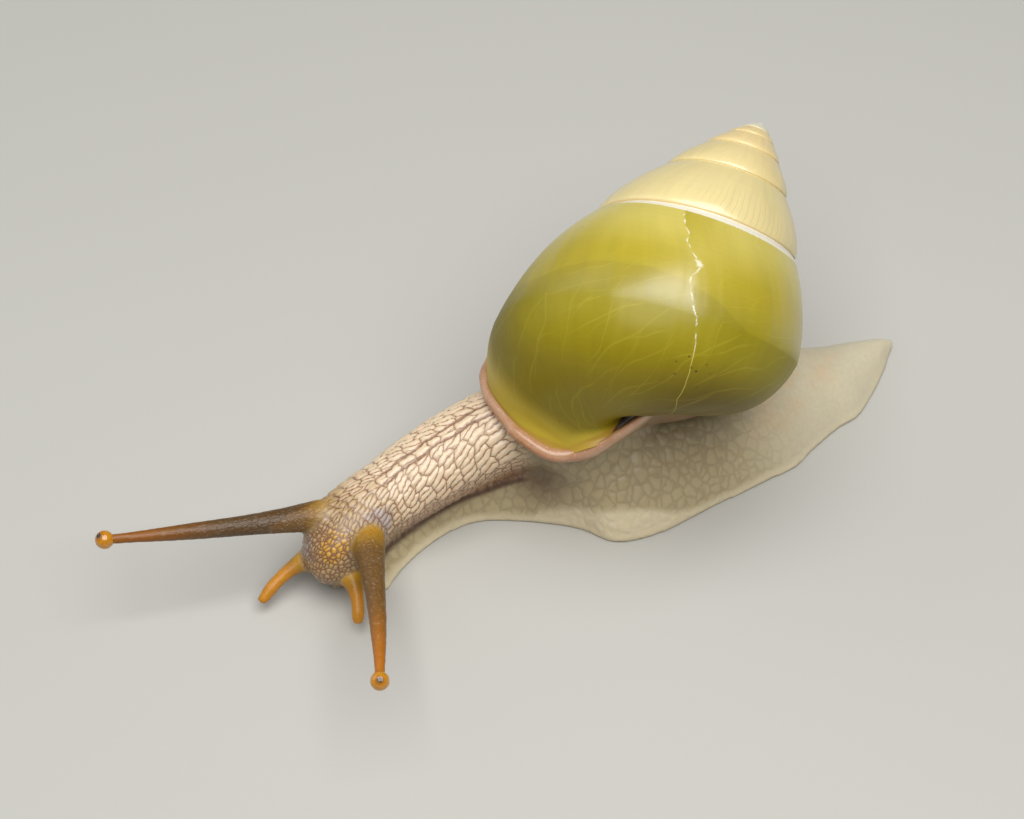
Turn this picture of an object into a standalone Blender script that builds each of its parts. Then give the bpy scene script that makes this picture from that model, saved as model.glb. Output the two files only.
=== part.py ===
"""A crawling Amphidromus tree snail: its shell, foot, neck, head and tentacles as closed solids.

Metres, +Z up, the sole on Z = 0. The head points along -Y, the tail along +Y and the animal's left along +X.
Lengths below are in millimetres and are scaled once, when a mesh is made.
"""

import math

import bmesh
import bpy
import numpy as np
from mathutils import Vector

MM = 0.001
GAP = 0.3

# The shell's axis: where the apex is and which way it points, with two directions square to it
APEX = np.array([-11.55, 20.55, 31.14])
AXIS_BEARING = 119.6
AXIS_RISE = 23.7
START_ANGLE = -135.0

# Growth of the suture line: radius and distance from the apex, and their ratio from whorl to whorl
SUTURE_RADIUS = 12.35
SUTURE_DEPTH = 18.41
SUTURE_OFFSET = -0.43
RADIUS_RATIO = 1.61
DEPTH_RATIO = 1.842
FIRST_TURN = -5.6

# The last whorl grows a little less than the ones before it
LATE_RADIUS = (0.121, 0.030)
LATE_DEPTH = (0.076, -0.125)

# The curve of a whorl from suture to suture, then round the base to the axis
SHOULDER_LEAN = 0.724
WAIST_LEAN = -0.093
SHOULDER_REACH = 0.418
WAIST_REACH = 0.10
BASE_REACH = (0.494, 0.691)
BASE_LENGTH = 0.657
BASE_CHANGE = -0.60
LOBE_RADIUS = 0.253
DIMPLE = 0.90

# The plane that the lip lies in: its upward normal and its distance from the origin
LIP_NORMAL = np.array([0.061, 0.096, 0.993])
LIP_PLANE = 12.9
# The inner edge of the opening from the base back along the columella: place, height of the
# columella's wall above the lip's plane and size of the lip's edge
COLUMELLA = [
    (-1.5, -16.6, 0.0, 1.0),
    (2.1, -15.3, 0.0, 1.0),
    (3.6, -13.3, 0.5, 0.95),
    (4.15, -11.3, 2.0, 0.9),
    (3.85, -9.3, 4.4, 0.9),
    (3.4, -7.3, 6.0, 1.0),
    (3.2, -5.3, 6.5, 1.0),
    (3.3, -3.2, 6.1, 1.1),
    (3.7, -1.2, 4.8, 1.2),
    (4.3, 0.7, 3.2, 1.1),
    (5.0, 2.5, 1.8, 0.6),
]
COLUMELLA_LEAN = 0.55
OPENING = np.array([-4.5, -5.0, 12.5])
LIP_LAST = 1.44
LIP_HEIGHT = 1.05
LIP_FLARE = 0.7
LIP_INSIDE = 0.75

# How far the whorl's edge turns outward at the lip at each s
TURNED_OUT = [
    (0.0, 0.0),
    (0.12, 0.10),
    (1.0, 0.30),
    (1.35, 0.36),
    (1.4, 0.50),
    (1.45, 0.85),
    (1.5, 1.00),
    (1.55, 0.95),
    (1.6, 0.25),
]
# How far before the rest of the edge the shell's dimple ends, in turns
DIMPLE_BACK = 0.12

# Foot: left margin, right margin and height of the back at each station from the tail to the front
FOOT = [
    (1.15, 32.45, 0.55, 32.6, 0.8),
    (2.2, 31.0, -0.5, 31.3, 1.5),
    (3.3, 29.7, -1.2, 29.7, 2.0),
    (4.8, 27.5, -2.2, 27.3, 2.7),
    (6.2, 25.1, -3.0, 24.9, 3.4),
    (7.3, 22.7, -3.9, 23.0, 4.1),
    (7.5, 19.7, -5.2, 20.2, 5.0),
    (8.4, 15.8, -6.9, 16.0, 6.0),
    (9.3, 12.8, -7.9, 12.5, 6.9),
    (9.2, 9.5, -8.6, 9.0, 7.6),
    (9.1, 6.1, -9.0, 5.5, 8.2),
    (8.9, 2.2, -9.4, 1.5, 8.8),
    (8.9, -1.5, -9.9, -2.2, 9.3),
    (8.8, -4.4, -10.4, -6.0, 9.6),
    (8.0, -8.0, -11.2, -10.0, 9.5),
    (6.6, -10.2, -12.0, -13.2, 8.8),
    (4.0, -11.6, -12.9, -16.4, 7.4),
    (1.7, -13.7, -13.6, -19.6, 5.8),
    (-1.2, -17.2, -13.7, -23.0, 4.6),
    (-3.2, -20.4, -13.2, -26.2, 4.1),
    (-3.75, -23.6, -12.3, -29.2, 3.8),
    (-3.45, -26.6, -11.3, -31.7, 3.6),
    (-2.7, -29.6, -10.3, -33.8, 3.4),
    (-1.75, -31.9, -9.2, -35.3, 3.0),
    (-0.9, -33.6, -8.0, -36.4, 2.4),
    (-1.6, -35.0, -6.6, -36.9, 1.5),
    (-3.2, -36.1, -5.2, -36.9, 0.8),
]
FOOT_TOP_POINTS = 19
FOOT_SOLE_POINTS = 7

# Neck and head: centre and radii across and up at each station
NECK = [
    (-3.2, -7.0, 9.0, 5.6, 5.2),
    (-5.3, -11.5, 9.3, 5.2, 4.9),
    (-6.7, -15.6, 8.9, 4.8, 4.7),
    (-7.4, -20.0, 8.0, 4.6, 4.5),
    (-7.6, -25.0, 7.0, 4.4, 4.2),
    (-7.4, -29.0, 6.3, 4.1, 3.9),
    (-7.0, -32.2, 6.1, 4.1, 3.8),
    (-6.2, -35.2, 5.6, 4.3, 3.9),
    (-5.2, -37.3, 4.8, 3.7, 3.4),
    (-4.4, -38.6, 3.9, 2.8, 2.6),
    (-3.9, -39.3, 3.3, 1.9, 1.9),
    (-3.6, -39.85, 2.8, 0.5, 0.5),
]
NECK_POINTS = 28

# The stalk that joins the foot to the inside of the shell: height, centre, radii and turn in degrees
STALK = [
    (3.5, -2.4, -4.6, 5.4, 7.6, 14.0),
    (6.0, -2.8, -5.0, 6.2, 8.3, 13.0),
    (8.5, -3.5, -5.6, 6.6, 8.8, 12.0),
    (10.8, -4.3, -6.0, 6.8, 9.0, 10.0),
    (12.8, -4.8, -5.9, 6.7, 8.9, 10.0),
    (14.6, -4.8, -5.4, 5.6, 7.8, 10.0),
    (15.6, -4.8, -5.2, 3.4, 5.0, 10.0),
]

# The mouth: a slit between two soft lobes under the snout
MOUTH = (-4.15, -38.2, 2.05)
MOUTH_SIDE = (-0.97, -0.25, 0.0)
LOBE_APART = 0.62
LOBE_RADII = (0.78, 0.95, 1.0)
SLIT_DROP = 1.0
SLIT_RADIUS = 1.15

# Tentacles: start, end, sag at the middle and the radii along them
EYE_RADIUS = 0.98
STALK_RADII = (1.9, 1.68, 1.36, 1.15, 1.02, 0.92, 0.78, 0.62, 0.52)
LEFT_STALK = ((-4.0, -34.0, 7.1), (15.3, -43.9, 11.1), (0.2, 0.3, 0.3))
RIGHT_STALK = ((-7.3, -34.8, 7.5), (-15.7, -58.3, 10.3), (0.6, 0.0, 0.4))
FEELER_RADII = (1.6, 1.45, 1.02, 0.80, 0.72, 0.72, 0.5)
LEFT_FEELER = ((-3.3, -36.9, 3.9), (2.1, -39.0, 1.6), (0.4, 0.3, 0.4))
RIGHT_FEELER = ((-6.2, -38.2, 4.0), (-5.8, -46.1, 1.6), (-0.7, 0.1, 0.4))

SKIN = (0.62, 0.55, 0.47)
PALE_SKIN = (0.68, 0.65, 0.55)
ORANGE_SKIN = (0.66, 0.42, 0.20)


def clear_scene():
    for item in list(bpy.data.objects):
        bpy.data.objects.remove(item, do_unlink=True)


def new_collection(name):
    made = bpy.data.collections.new(name)
    bpy.context.scene.collection.children.link(made)
    return made


def material(name, colour, roughness, metallic=0.0):
    made = bpy.data.materials.new(name)
    made.use_nodes = True
    shader = made.node_tree.nodes["Principled BSDF"]
    shader.inputs["Base Color"].default_value = (*colour, 1.0)
    shader.inputs["Roughness"].default_value = roughness
    shader.inputs["Metallic"].default_value = metallic
    return made


def link(name, data, collection):
    """An object for a mesh; one that only cuts or joins is drawn as wire."""
    made = bpy.data.objects.new(name, data)
    collection.objects.link(made)
    if collection.hide_render:
        made.display_type = "WIRE"
    return made


def mesh_object(name, points, faces, collection):
    """One closed mesh from points in millimetres, its faces turned outward."""
    data = bpy.data.meshes.new(name)
    data.from_pydata((np.asarray(points) * MM).tolist(), [], faces)
    work = bmesh.new()
    work.from_mesh(data)
    bmesh.ops.remove_doubles(work, verts=work.verts, dist=1e-7)
    bmesh.ops.recalc_face_normals(work, faces=work.faces)
    if work.calc_volume(signed=True) < 0:
        bmesh.ops.reverse_faces(work, faces=work.faces)
    work.to_mesh(data)
    work.free()
    return link(name, data, collection)


def rings_mesh(name, rings, collection):
    """A loft through closed rings of equal size, with a flat fan over each end."""
    count, size = len(rings), len(rings[0])
    points = [tuple(p) for ring in rings for p in ring]
    faces = []
    for i in range(count - 1):
        for j in range(size):
            k = (j + 1) % size
            faces.append((i * size + j, i * size + k, (i + 1) * size + k, (i + 1) * size + j))
    for end, flip in ((0, True), (count - 1, False)):
        points.append(tuple(np.mean(rings[end], axis=0)))
        centre = len(points) - 1
        for j in range(size):
            a = end * size + j
            b = end * size + (j + 1) % size
            faces.append((centre, b, a) if flip else (centre, a, b))
    return mesh_object(name, points, faces, collection)


def smooth_path(rows, count):
    """Rows of numbers followed by a Catmull-Rom curve at an even step, count rows in all."""
    rows = np.asarray(rows, float)
    padded = np.vstack([2 * rows[0] - rows[1], rows, 2 * rows[-1] - rows[-2]])
    at = np.linspace(0, len(rows) - 1, count)
    part = np.minimum(at.astype(int), len(rows) - 2)
    t = (at - part)[:, None]
    a, b, c, d = (padded[part + k] for k in range(4))
    return 0.5 * (2 * b + (c - a) * t + (2 * a - 5 * b + 4 * c - d) * t**2 + (3 * b - a - 3 * c + d) * t**3)


# Shell


def shell_axes():
    """The axis toward the apex, a direction across it and one toward the upper left."""
    bearing, rise = math.radians(AXIS_BEARING), math.radians(AXIS_RISE)
    axis = np.array([
        math.cos(bearing) * math.cos(rise),
        math.sin(bearing) * math.cos(rise),
        math.sin(rise),
    ])
    across = np.array([0.770, 0.575, -0.276])
    across -= axis * (across @ axis)
    across /= np.linalg.norm(across)
    return axis, across, np.cross(across, axis)


def suture(turn):
    """Radius and depth of the suture line at a whorl position, also past the lip."""
    late = np.clip(turn, 0, None)
    radius = SUTURE_RADIUS * RADIUS_RATIO**turn * (1 - LATE_RADIUS[0] * late - LATE_RADIUS[1] * late**2)
    depth = SUTURE_DEPTH * DEPTH_RATIO**turn + SUTURE_OFFSET
    return radius, depth * (1 - LATE_DEPTH[0] * late - LATE_DEPTH[1] * late**2)


def bezier(a, b, c, d, t):
    q = 1 - t
    return q**3 * a + 3 * q * q * t * b + 3 * q * t * t * c + t**3 * d


def whorl_profile(turn, s):
    """Radius and depth on a whorl: s 0 to 1 is suture to suture, 1 to 1.6 the base, 1.6 to 2 the dimple."""
    ra, ha = suture(turn)
    rb, hb = suture(turn + 1)
    size = np.hypot(rb - ra, hb - ha)
    w = np.clip(s, 0, 1)
    start = (math.sin(SHOULDER_LEAN), math.cos(SHOULDER_LEAN))
    waist = (math.sin(WAIST_LEAN), math.cos(WAIST_LEAN))
    k0, k1 = SHOULDER_REACH * size, WAIST_REACH * size
    side_r = bezier(ra, ra + k0 * start[0], rb - k1 * waist[0], rb, w)
    side_h = bezier(ha, ha + k0 * start[1], hb - k1 * waist[1], hb, w)
    length = (BASE_LENGTH + BASE_CHANGE * np.clip(turn + 0.45, 0, None)) * rb
    lobe_r, lobe_h = LOBE_RADIUS * rb, hb + length
    q = np.clip((s - 1) / 0.6, 0, 1)
    reach = BASE_REACH[0] * length
    base_r = bezier(rb, rb + reach * waist[0], lobe_r + BASE_REACH[1] * (rb - lobe_r), lobe_r, q)
    base_h = bezier(hb, hb + reach * waist[1], lobe_h, lobe_h, q)
    q = np.clip((s - 1.6) / 0.4, 0, 1)
    inner_r, inner_h = 0.02 * rb, hb + DIMPLE * length
    dimple_r = bezier(lobe_r, 0.6 * lobe_r, 0.3 * lobe_r, inner_r, q)
    dimple_h = bezier(lobe_h, lobe_h, inner_h, inner_h, q)
    radius = np.where(s <= 1, side_r, np.where(s <= 1.6, base_r, dimple_r))
    return radius, np.where(s <= 1, side_h, np.where(s <= 1.6, base_h, dimple_h))


def shell_point(turn, s):
    turn, s = np.broadcast_arrays(np.asarray(turn, float), np.asarray(s, float))
    axis, across, toward = shell_axes()
    radius, depth = whorl_profile(turn, s)
    angle = math.radians(START_ANGLE) - 2 * math.pi * turn
    spoke = np.sin(angle)[..., None] * across + np.cos(angle)[..., None] * toward
    return APEX - depth[..., None] * axis + radius[..., None] * spoke


def lip_turns(values):
    """The whorl position at which each line s of the last whorl meets the lip's plane."""
    tries = np.linspace(-0.5, 0.3, 401)
    found = []
    for s in values:
        side = shell_point(tries, s) @ LIP_NORMAL - LIP_PLANE
        k = int(np.argmax(side <= 0))
        found.append(tries[k] if k else 0.0)
    return np.array(found)


LIP_S = np.concatenate([np.linspace(0.12, 1.0, 12), np.linspace(1.08, 1.6, 9)])


def end_turn(s):
    """Where the last whorl ends on line s, with the steps of the search smoothed out."""
    known = lip_turns(LIP_S)
    return np.interp(s, [*LIP_S, 2.0], [*known, known[-1] - DIMPLE_BACK])


def turned_edge(points, s, share):
    """Points of the last whorl moved level and away from the middle of the opening, more near the lip."""
    away = (points - OPENING) * (1, 1, 0)
    away /= np.linalg.norm(away, axis=-1)[..., None]
    return points + (np.interp(s, *np.array(TURNED_OUT).T) * share)[..., None] * away


def strip(turns, values, points, grid):
    """Adds a grid of shell points and returns the index of each."""
    index = np.empty(grid.shape[:2], int)
    for i in range(grid.shape[0]):
        for j in range(grid.shape[1]):
            index[i, j] = len(points)
            points.append(tuple(grid[i, j]))
    return index


def quads(index, faces):
    rows, columns = index.shape
    for i in range(rows - 1):
        for j in range(columns - 1):
            faces.append((index[i, j], index[i, j + 1], index[i + 1, j + 1], index[i + 1, j]))


def build_shell(name, grow, collection):
    """The whole shell as one closed strip from suture to suture, ended by a face inside the lip."""
    per_turn = 44
    first = float(end_turn(0.0))
    steps = int((first - 1 - FIRST_TURN) * per_turn)
    early = first - 1 - np.arange(steps, -1, -1) / per_turn
    side = np.linspace(0, 1, 7)
    base = np.concatenate([np.linspace(1.1, 1.6, 6), [1.75, 2.0]])
    points, faces = [], []
    early_grid = shell_point(early[:, None], side[None])
    index = strip(early, side, points, early_grid)
    quads(index, faces)
    every = np.concatenate([side, base])
    share = np.linspace(0, 1, per_turn + 1)[:, None]
    turns = (first - 1) + share * (end_turn(every)[None] - (first - 1))
    late_grid = turned_edge(shell_point(turns, every[None]), every[None], share == 1)
    late_index = strip(turns, every, points, late_grid)
    quads(late_index, faces)
    close_apex(points, faces, index, per_turn)
    close_opening(points, faces, late_index, len(side))
    made = mesh_object(name, points, faces, collection)
    weld(made, 0.02)
    if grow:
        inflate(made, grow)
    return made


def close_apex(points, faces, early, per_turn):
    """A low dome over the first turn of the suture line."""
    tip = len(points)
    points.append(tuple(APEX + 0.3 * shell_axes()[0]))
    edge = list(early[: per_turn + 1, 0]) + list(early[0, ::-1])
    for a, b in zip(edge, edge[1:]):
        faces.append((tip, a, b))


def close_opening(points, faces, late, side_count):
    """The opening's face runs from the lip to the wall that it grew from."""
    wall = list(late[0, side_count - 1:]) + list(late[1:, -1])
    lip = list(late[-1, :])
    wall_at = np.linspace(0, 1, len(wall))
    lip_at = np.linspace(0, 1, len(lip))
    i = j = 0
    while i < len(wall) - 1 or j < len(lip) - 1:
        step_wall = j == len(lip) - 1 or (i < len(wall) - 1 and wall_at[i + 1] <= lip_at[j + 1])
        if step_wall:
            faces.append((wall[i], wall[i + 1], lip[j]))
            i += 1
        else:
            faces.append((wall[i], lip[j + 1], lip[j]))
            j += 1


def weld(item, distance):
    work = bmesh.new()
    work.from_mesh(item.data)
    bmesh.ops.remove_doubles(work, verts=work.verts, dist=distance * MM)
    bmesh.ops.dissolve_degenerate(work, edges=work.edges, dist=1e-7)
    bmesh.ops.recalc_face_normals(work, faces=work.faces)
    if work.calc_volume(signed=True) < 0:
        bmesh.ops.reverse_faces(work, faces=work.faces)
    work.to_mesh(item.data)
    work.free()


def inflate(item, distance):
    work = bmesh.new()
    work.from_mesh(item.data)
    work.normal_update()
    moved = [(vert, vert.normal.copy()) for vert in work.verts]
    for vert, normal in moved:
        vert.co += normal * distance * MM
    work.to_mesh(item.data)
    work.free()


def lip_path():
    """Rows of the lip's line in its plane, round the outer lip and back along the columella.

    Each row is a point, the height of the columella's wall there and the size of the edge.
    """
    kept = LIP_S[LIP_S <= LIP_LAST]
    outer = turned_edge(shell_point(lip_turns(kept), kept), kept, 1)
    rows = [(*point, 0.0, 1.0) for point in outer]
    for x, y, rise, size in COLUMELLA:
        z = (LIP_PLANE - LIP_NORMAL[0] * x - LIP_NORMAL[1] * y) / LIP_NORMAL[2]
        rows.append((x, y, z, rise, size))
    return smooth_path(rows, 64)


def build_lip(name, grow, collection):
    """The thick turned-back lip and the columella's wall, as one oval section swept along the lip's line."""
    rows = lip_path()
    path, rise, size = rows[:, :3], np.clip(rows[:, 3], 0, None), rows[:, 4]
    along = np.gradient(path, axis=0)
    along /= np.linalg.norm(along, axis=1)[:, None]
    down = -LIP_NORMAL / np.linalg.norm(LIP_NORMAL)
    out = np.cross(along, -down)
    if ((path - OPENING) * out).sum() < 0:
        out = -out
    angles = np.linspace(0, 2 * math.pi, 12, endpoint=False)
    size = size * np.clip(np.linspace(0, 1, len(path)) / 0.06, 0.25, 1) ** 0.5
    rings = []
    for point, side, wall, k in zip(path, out, rise, size):
        width = 0.5 * (LIP_FLARE + LIP_INSIDE) * k + grow
        low = point + side * 0.5 * (LIP_FLARE - LIP_INSIDE) + down * (GAP + LIP_HEIGHT * k)
        high = low - down * (LIP_HEIGHT * k + wall) + side * COLUMELLA_LEAN * wall
        half = 0.5 * (low - high)
        half *= 1 + grow / np.linalg.norm(half)
        centre = 0.5 * (low + high)
        rings.append([centre + side * width * math.cos(a) + half * math.sin(a) for a in angles])
    return rings_mesh(name, rings, collection)


# Flesh


def foot_rings(grow, count):
    rows = smooth_path(FOOT, count)
    across = np.linspace(-1, 1, FOOT_TOP_POINTS)
    across = np.sign(across) * (1 - (1 - np.abs(across)) ** 1.4)
    rings = []
    for lx, ly, rx, ry, height in rows:
        left, right = np.array([lx, ly]), np.array([rx, ry])
        half = 0.5 * (left - right)
        scale = 1 + grow / np.linalg.norm(half)
        centre = 0.5 * (left + right)
        top = []
        for v in across:
            z = (height + grow) * (1 - abs(v) ** 2.1) ** 0.8
            top.append((*(centre + half * scale * v), max(z, 0.0) + (0.25 if grow == 0 else 0.25 + grow)))
        sole = [(*(centre + half * scale * 0.97 * v), -grow) for v in np.linspace(1, -1, FOOT_SOLE_POINTS)]
        rings.append(top + sole)
    return rings


def build_foot(name, grow, collection):
    return rings_mesh(name, foot_rings(grow, 58), collection)


def tube_rings(rows, size, up=(0.0, 0.0, 1.0)):
    """Rings square to a path: each row is a centre and the radii across and up."""
    rows = np.asarray(rows, float)
    path = rows[:, :3]
    along = np.gradient(path, axis=0)
    along /= np.linalg.norm(along, axis=1)[:, None]
    rings = []
    for point, tangent, row in zip(path, along, rows):
        side = np.cross(tangent, up)
        side /= np.linalg.norm(side)
        top = np.cross(side, tangent)
        ring = []
        for a in np.linspace(0, 2 * math.pi, size, endpoint=False):
            ring.append(point + side * row[3] * math.cos(a) + top * row[4] * math.sin(a))
        rings.append(ring)
    return rings


def build_neck(name, collection):
    return rings_mesh(name, tube_rings(smooth_path(NECK, 46), NECK_POINTS), collection)


def build_stalk(name, collection):
    rings = []
    for z, x, y, across, along, turn in smooth_path(STALK, 14):
        c, s = math.cos(math.radians(turn)), math.sin(math.radians(turn))
        ring = []
        for a in np.linspace(0, 2 * math.pi, 28, endpoint=False):
            u, v = across * math.cos(a), along * math.sin(a)
            ring.append((x + u * c - v * s, y + u * s + v * c, z))
        rings.append(ring)
    return rings_mesh(name, rings, collection)


def tentacle_path(spec, count):
    start, end, sag = (np.array(v, float) for v in spec)
    t = np.linspace(0, 1, count)[:, None]
    return start + (end - start) * t + sag * 4 * t * (1 - t)


def build_lips(collection):
    """Two soft lobes side by side under the snout, well sunk in it."""
    side = np.array(MOUTH_SIDE)
    places = [np.array(MOUTH) + side * offset for offset in (-LOBE_APART, LOBE_APART)]
    return [ball("lobe", place, LOBE_RADII, collection, segments=16) for place in places]


def build_tentacle(name, spec, radii, count, size, collection):
    path = tentacle_path(spec, count)
    radius = smooth_path(np.array(radii)[:, None], count)
    rows = np.hstack([path, radius, radius])
    return rings_mesh(name, tube_rings(rows, size), collection)


def ball(name, centre, radii, collection, segments=20):
    work = bmesh.new()
    bmesh.ops.create_uvsphere(work, u_segments=segments, v_segments=segments // 2, radius=MM)
    bmesh.ops.scale(work, verts=work.verts, vec=radii)
    bmesh.ops.translate(work, verts=work.verts, vec=Vector(centre) * MM)
    data = bpy.data.meshes.new(name)
    work.to_mesh(data)
    work.free()
    return link(name, data, collection)


def disc(name, centre, direction, radius, collection, thickness=GAP, low=None):
    """A thin round slab that parts two nodes, or a square one whose lower edge is at a height."""
    work = bmesh.new()
    if low is None:
        bmesh.ops.create_cone(
            work, cap_ends=True, segments=24, radius1=radius * MM, radius2=radius * MM, depth=thickness * MM
        )
    else:
        bmesh.ops.create_cube(work, size=1.0)
        bmesh.ops.scale(work, vec=(2 * radius * MM, 2 * radius * MM, thickness * MM), verts=work.verts)
    turn = Vector(direction).to_track_quat("Z", "Y").to_matrix()
    bmesh.ops.rotate(work, cent=(0, 0, 0), matrix=turn, verts=work.verts)
    bmesh.ops.translate(work, verts=work.verts, vec=Vector(centre) * MM)
    data = bpy.data.meshes.new(name)
    work.to_mesh(data)
    work.free()
    return link(name, data, collection)


def boolean(item, others, operation, solver="MANIFOLD"):
    """Joins or cuts one object with a set of others in one step, then removes the others."""
    group = bpy.data.collections.new("operands")
    bpy.context.scene.collection.children.link(group)
    for other in others:
        for owner in list(other.users_collection):
            owner.objects.unlink(other)
        group.objects.link(other)
    step = item.modifiers.new("step", "BOOLEAN")
    step.operation = operation
    step.solver = solver
    step.operand_type = "COLLECTION"
    step.collection = group
    bpy.context.view_layer.update()
    graph = bpy.context.evaluated_depsgraph_get()
    result = bpy.data.meshes.new_from_object(item.evaluated_get(graph))
    item.modifiers.remove(step)
    old = item.data
    item.data = result
    bpy.data.meshes.remove(old)
    for other in others:
        bpy.data.objects.remove(other, do_unlink=True)
    bpy.data.collections.remove(group)


def pieces(item):
    """The closed surfaces of a mesh, each as its points in millimetres and its faces."""
    work = bmesh.new()
    work.from_mesh(item.data)
    bmesh.ops.triangulate(work, faces=work.faces)
    work.verts.ensure_lookup_table()
    seen, found = set(), []
    for first in work.verts:
        if first.index in seen or not first.link_faces:
            continue
        stack, group = [first], []
        seen.add(first.index)
        while stack:
            vert = stack.pop()
            group.append(vert)
            for edge in vert.link_edges:
                other = edge.other_vert(vert)
                if other.index not in seen:
                    seen.add(other.index)
                    stack.append(other)
        order = {vert.index: k for k, vert in enumerate(group)}
        points = np.array([vert.co[:] for vert in group]) / MM
        rows = {face for vert in group for face in vert.link_faces}
        faces = [tuple(order[v.index] for v in face.verts) for face in sorted(rows, key=lambda f: f.index)]
        found.append((points, faces))
    work.free()
    return found


def volume_of(points, faces):
    corners = points[np.array(faces)]
    return float(np.einsum("ij,ij->i", corners[:, 0], np.cross(corners[:, 1], corners[:, 2])).sum() / 6)


def name_pieces(item, seeds, collection, look):
    """Gives each seed's name to the closed surface whose centre of points is nearest, largest first."""
    found = [(volume_of(p, f), p, f) for p, f in pieces(item)]
    found = sorted([row for row in found if row[0] > 0.3], key=lambda row: -row[0])
    left = dict(seeds)
    for _, points, faces in found:
        if not left:
            break
        middle = points.mean(axis=0)
        name = min(left, key=lambda key: np.linalg.norm(middle - np.array(left[key])))
        del left[name]
        made = mesh_object(name, points, faces, collection)
        made.data.materials.append(look[name])
    bpy.data.objects.remove(item, do_unlink=True)


def direction_of(spec):
    return np.array(spec[1], float) - np.array(spec[0], float)


def part_foot(parts, work, looks):
    foot = build_foot("foot_body", 0.0, work)
    shell = build_shell("shell_cut", GAP, work)
    lip = build_lip("lip_cut", GAP, work)
    boolean(foot, [shell, lip], "DIFFERENCE")
    slabs = [
        disc("cut_tail", (0.7, 16.0, 4.0), (0, 1, 0), 16.0, work),
        disc("cut_front", (-3.6, -14.6, 3.0), (0.50, 0.86, 0), 14.0, work),
    ]
    boolean(foot, slabs, "DIFFERENCE")
    seeds = {"tail": (0.7, 25.0, 2.0), "foot_middle": (-1.0, 1.0, 4.0), "foot_front": (-7.5, -26.0, 2.0)}
    name_pieces(foot, seeds, parts, looks)


def part_head(parts, work, looks):
    body = build_neck("neck_body", work)
    joined = [
        build_stalk("stalk_body", work),
        build_tentacle("left_stalk_body", LEFT_STALK, STALK_RADII, 26, 16, work),
        build_tentacle("right_stalk_body", RIGHT_STALK, STALK_RADII, 26, 16, work),
        build_tentacle("left_feeler_body", LEFT_FEELER, FEELER_RADII, 12, 12, work),
        build_tentacle("right_feeler_body", RIGHT_FEELER, FEELER_RADII, 12, 12, work),
        *build_lips(work),
    ]
    boolean(body, joined, "UNION")
    away = [
        build_foot("foot_cut", GAP, work),
        build_shell("shell_cut", GAP, work),
        build_lip("lip_cut", GAP, work),
    ]
    boolean(body, away, "DIFFERENCE")
    left, right = direction_of(LEFT_STALK), direction_of(RIGHT_STALK)
    left_f, right_f = direction_of(LEFT_FEELER), direction_of(RIGHT_FEELER)
    slabs = [
        disc("cut_neck", (-5.9, -13.2, 9.0), (0.30, 0.95, 0), 12.0, work, low=0.0),
        disc("cut_head", (-7.1, -31.2, 7.0), (0.05, 1, 0), 8.0, work),
        disc("cut_left", np.array(LEFT_STALK[0]) + left * 0.24, left, 2.9, work),
        disc("cut_right", np.array(RIGHT_STALK[0]) + right * 0.22, right, 2.9, work),
        disc("cut_left_f", np.array(LEFT_FEELER[0]) + left_f * 0.42, left_f, 1.8, work),
        disc("cut_right_f", np.array(RIGHT_FEELER[0]) + right_f * 0.42, right_f, 1.8, work),
        ball("cut_left_eye", LEFT_STALK[1], (EYE_RADIUS + GAP,) * 3, work),
        ball("cut_right_eye", RIGHT_STALK[1], (EYE_RADIUS + GAP,) * 3, work),
        disc("mouth_slit", np.array(MOUTH) - (0, 0, SLIT_DROP), MOUTH_SIDE, SLIT_RADIUS, work),
    ]
    boolean(body, slabs, "DIFFERENCE")
    seeds = {
        "mantle_collar": (-4.5, -6.0, 10.0),
        "neck": (-7.3, -22.0, 8.0),
        "head": (-6.2, -35.0, 6.0),
        "eye_stalk_left": (7.0, -40.0, 9.8),
        "eye_stalk_right": (-12.0, -48.0, 9.5),
        "lower_tentacle_left": (0.5, -38.8, 2.4),
        "lower_tentacle_right": (-5.5, -43.5, 2.4),
    }
    name_pieces(body, seeds, parts, looks)


def part_shell(parts, work, looks):
    shell = build_shell("shell", 0.0, parts)
    boolean(shell, [build_lip("lip_cut", 0.6 * GAP, work)], "DIFFERENCE")
    keep_largest(shell)
    shell.data.materials.append(looks["shell"])
    lip = build_lip("shell_lip", 0.0, parts)
    boolean(lip, [build_shell("shell_cut", GAP, work)], "DIFFERENCE")
    keep_largest(lip)
    lip.data.materials.append(looks["shell_lip"])


def keep_largest(item):
    found = sorted(pieces(item), key=lambda row: -volume_of(*row))
    points, faces = found[0]
    data = bpy.data.meshes.new(item.name)
    data.from_pydata((points * MM).tolist(), [], faces)
    old = item.data
    item.data = data
    bpy.data.meshes.remove(old)


def part_eyes(parts, work, looks):
    for name, spec in (("eye_left", LEFT_STALK), ("eye_right", RIGHT_STALK)):
        made = ball(name, spec[1], (EYE_RADIUS,) * 3, parts)
        made.data.materials.append(looks[name])


def all_looks():
    skin = material("skin", SKIN, 0.45)
    pale = material("pale_skin", PALE_SKIN, 0.40)
    orange = material("orange_skin", ORANGE_SKIN, 0.40)
    looks = {name: skin for name in ("mantle_collar", "neck", "head", "foot_front", "foot_middle")}
    looks["tail"] = pale
    looks["eye_stalk_left"] = looks["eye_stalk_right"] = orange
    looks["lower_tentacle_left"] = looks["lower_tentacle_right"] = orange
    looks["eye_left"] = looks["eye_right"] = material("eye_bulb", (0.45, 0.25, 0.12), 0.25)
    looks["shell"] = material("shell_green", (0.45, 0.42, 0.10), 0.22)
    looks["shell_lip"] = material("lip_pink", (0.55, 0.34, 0.26), 0.30)
    return looks


def main():
    clear_scene()
    parts = new_collection("tree_snail")
    work = new_collection("work")
    work.hide_render = True
    looks = all_looks()
    part_shell(parts, work, looks)
    part_foot(parts, work, looks)
    part_head(parts, work, looks)
    part_eyes(parts, work, looks)


main()
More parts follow.
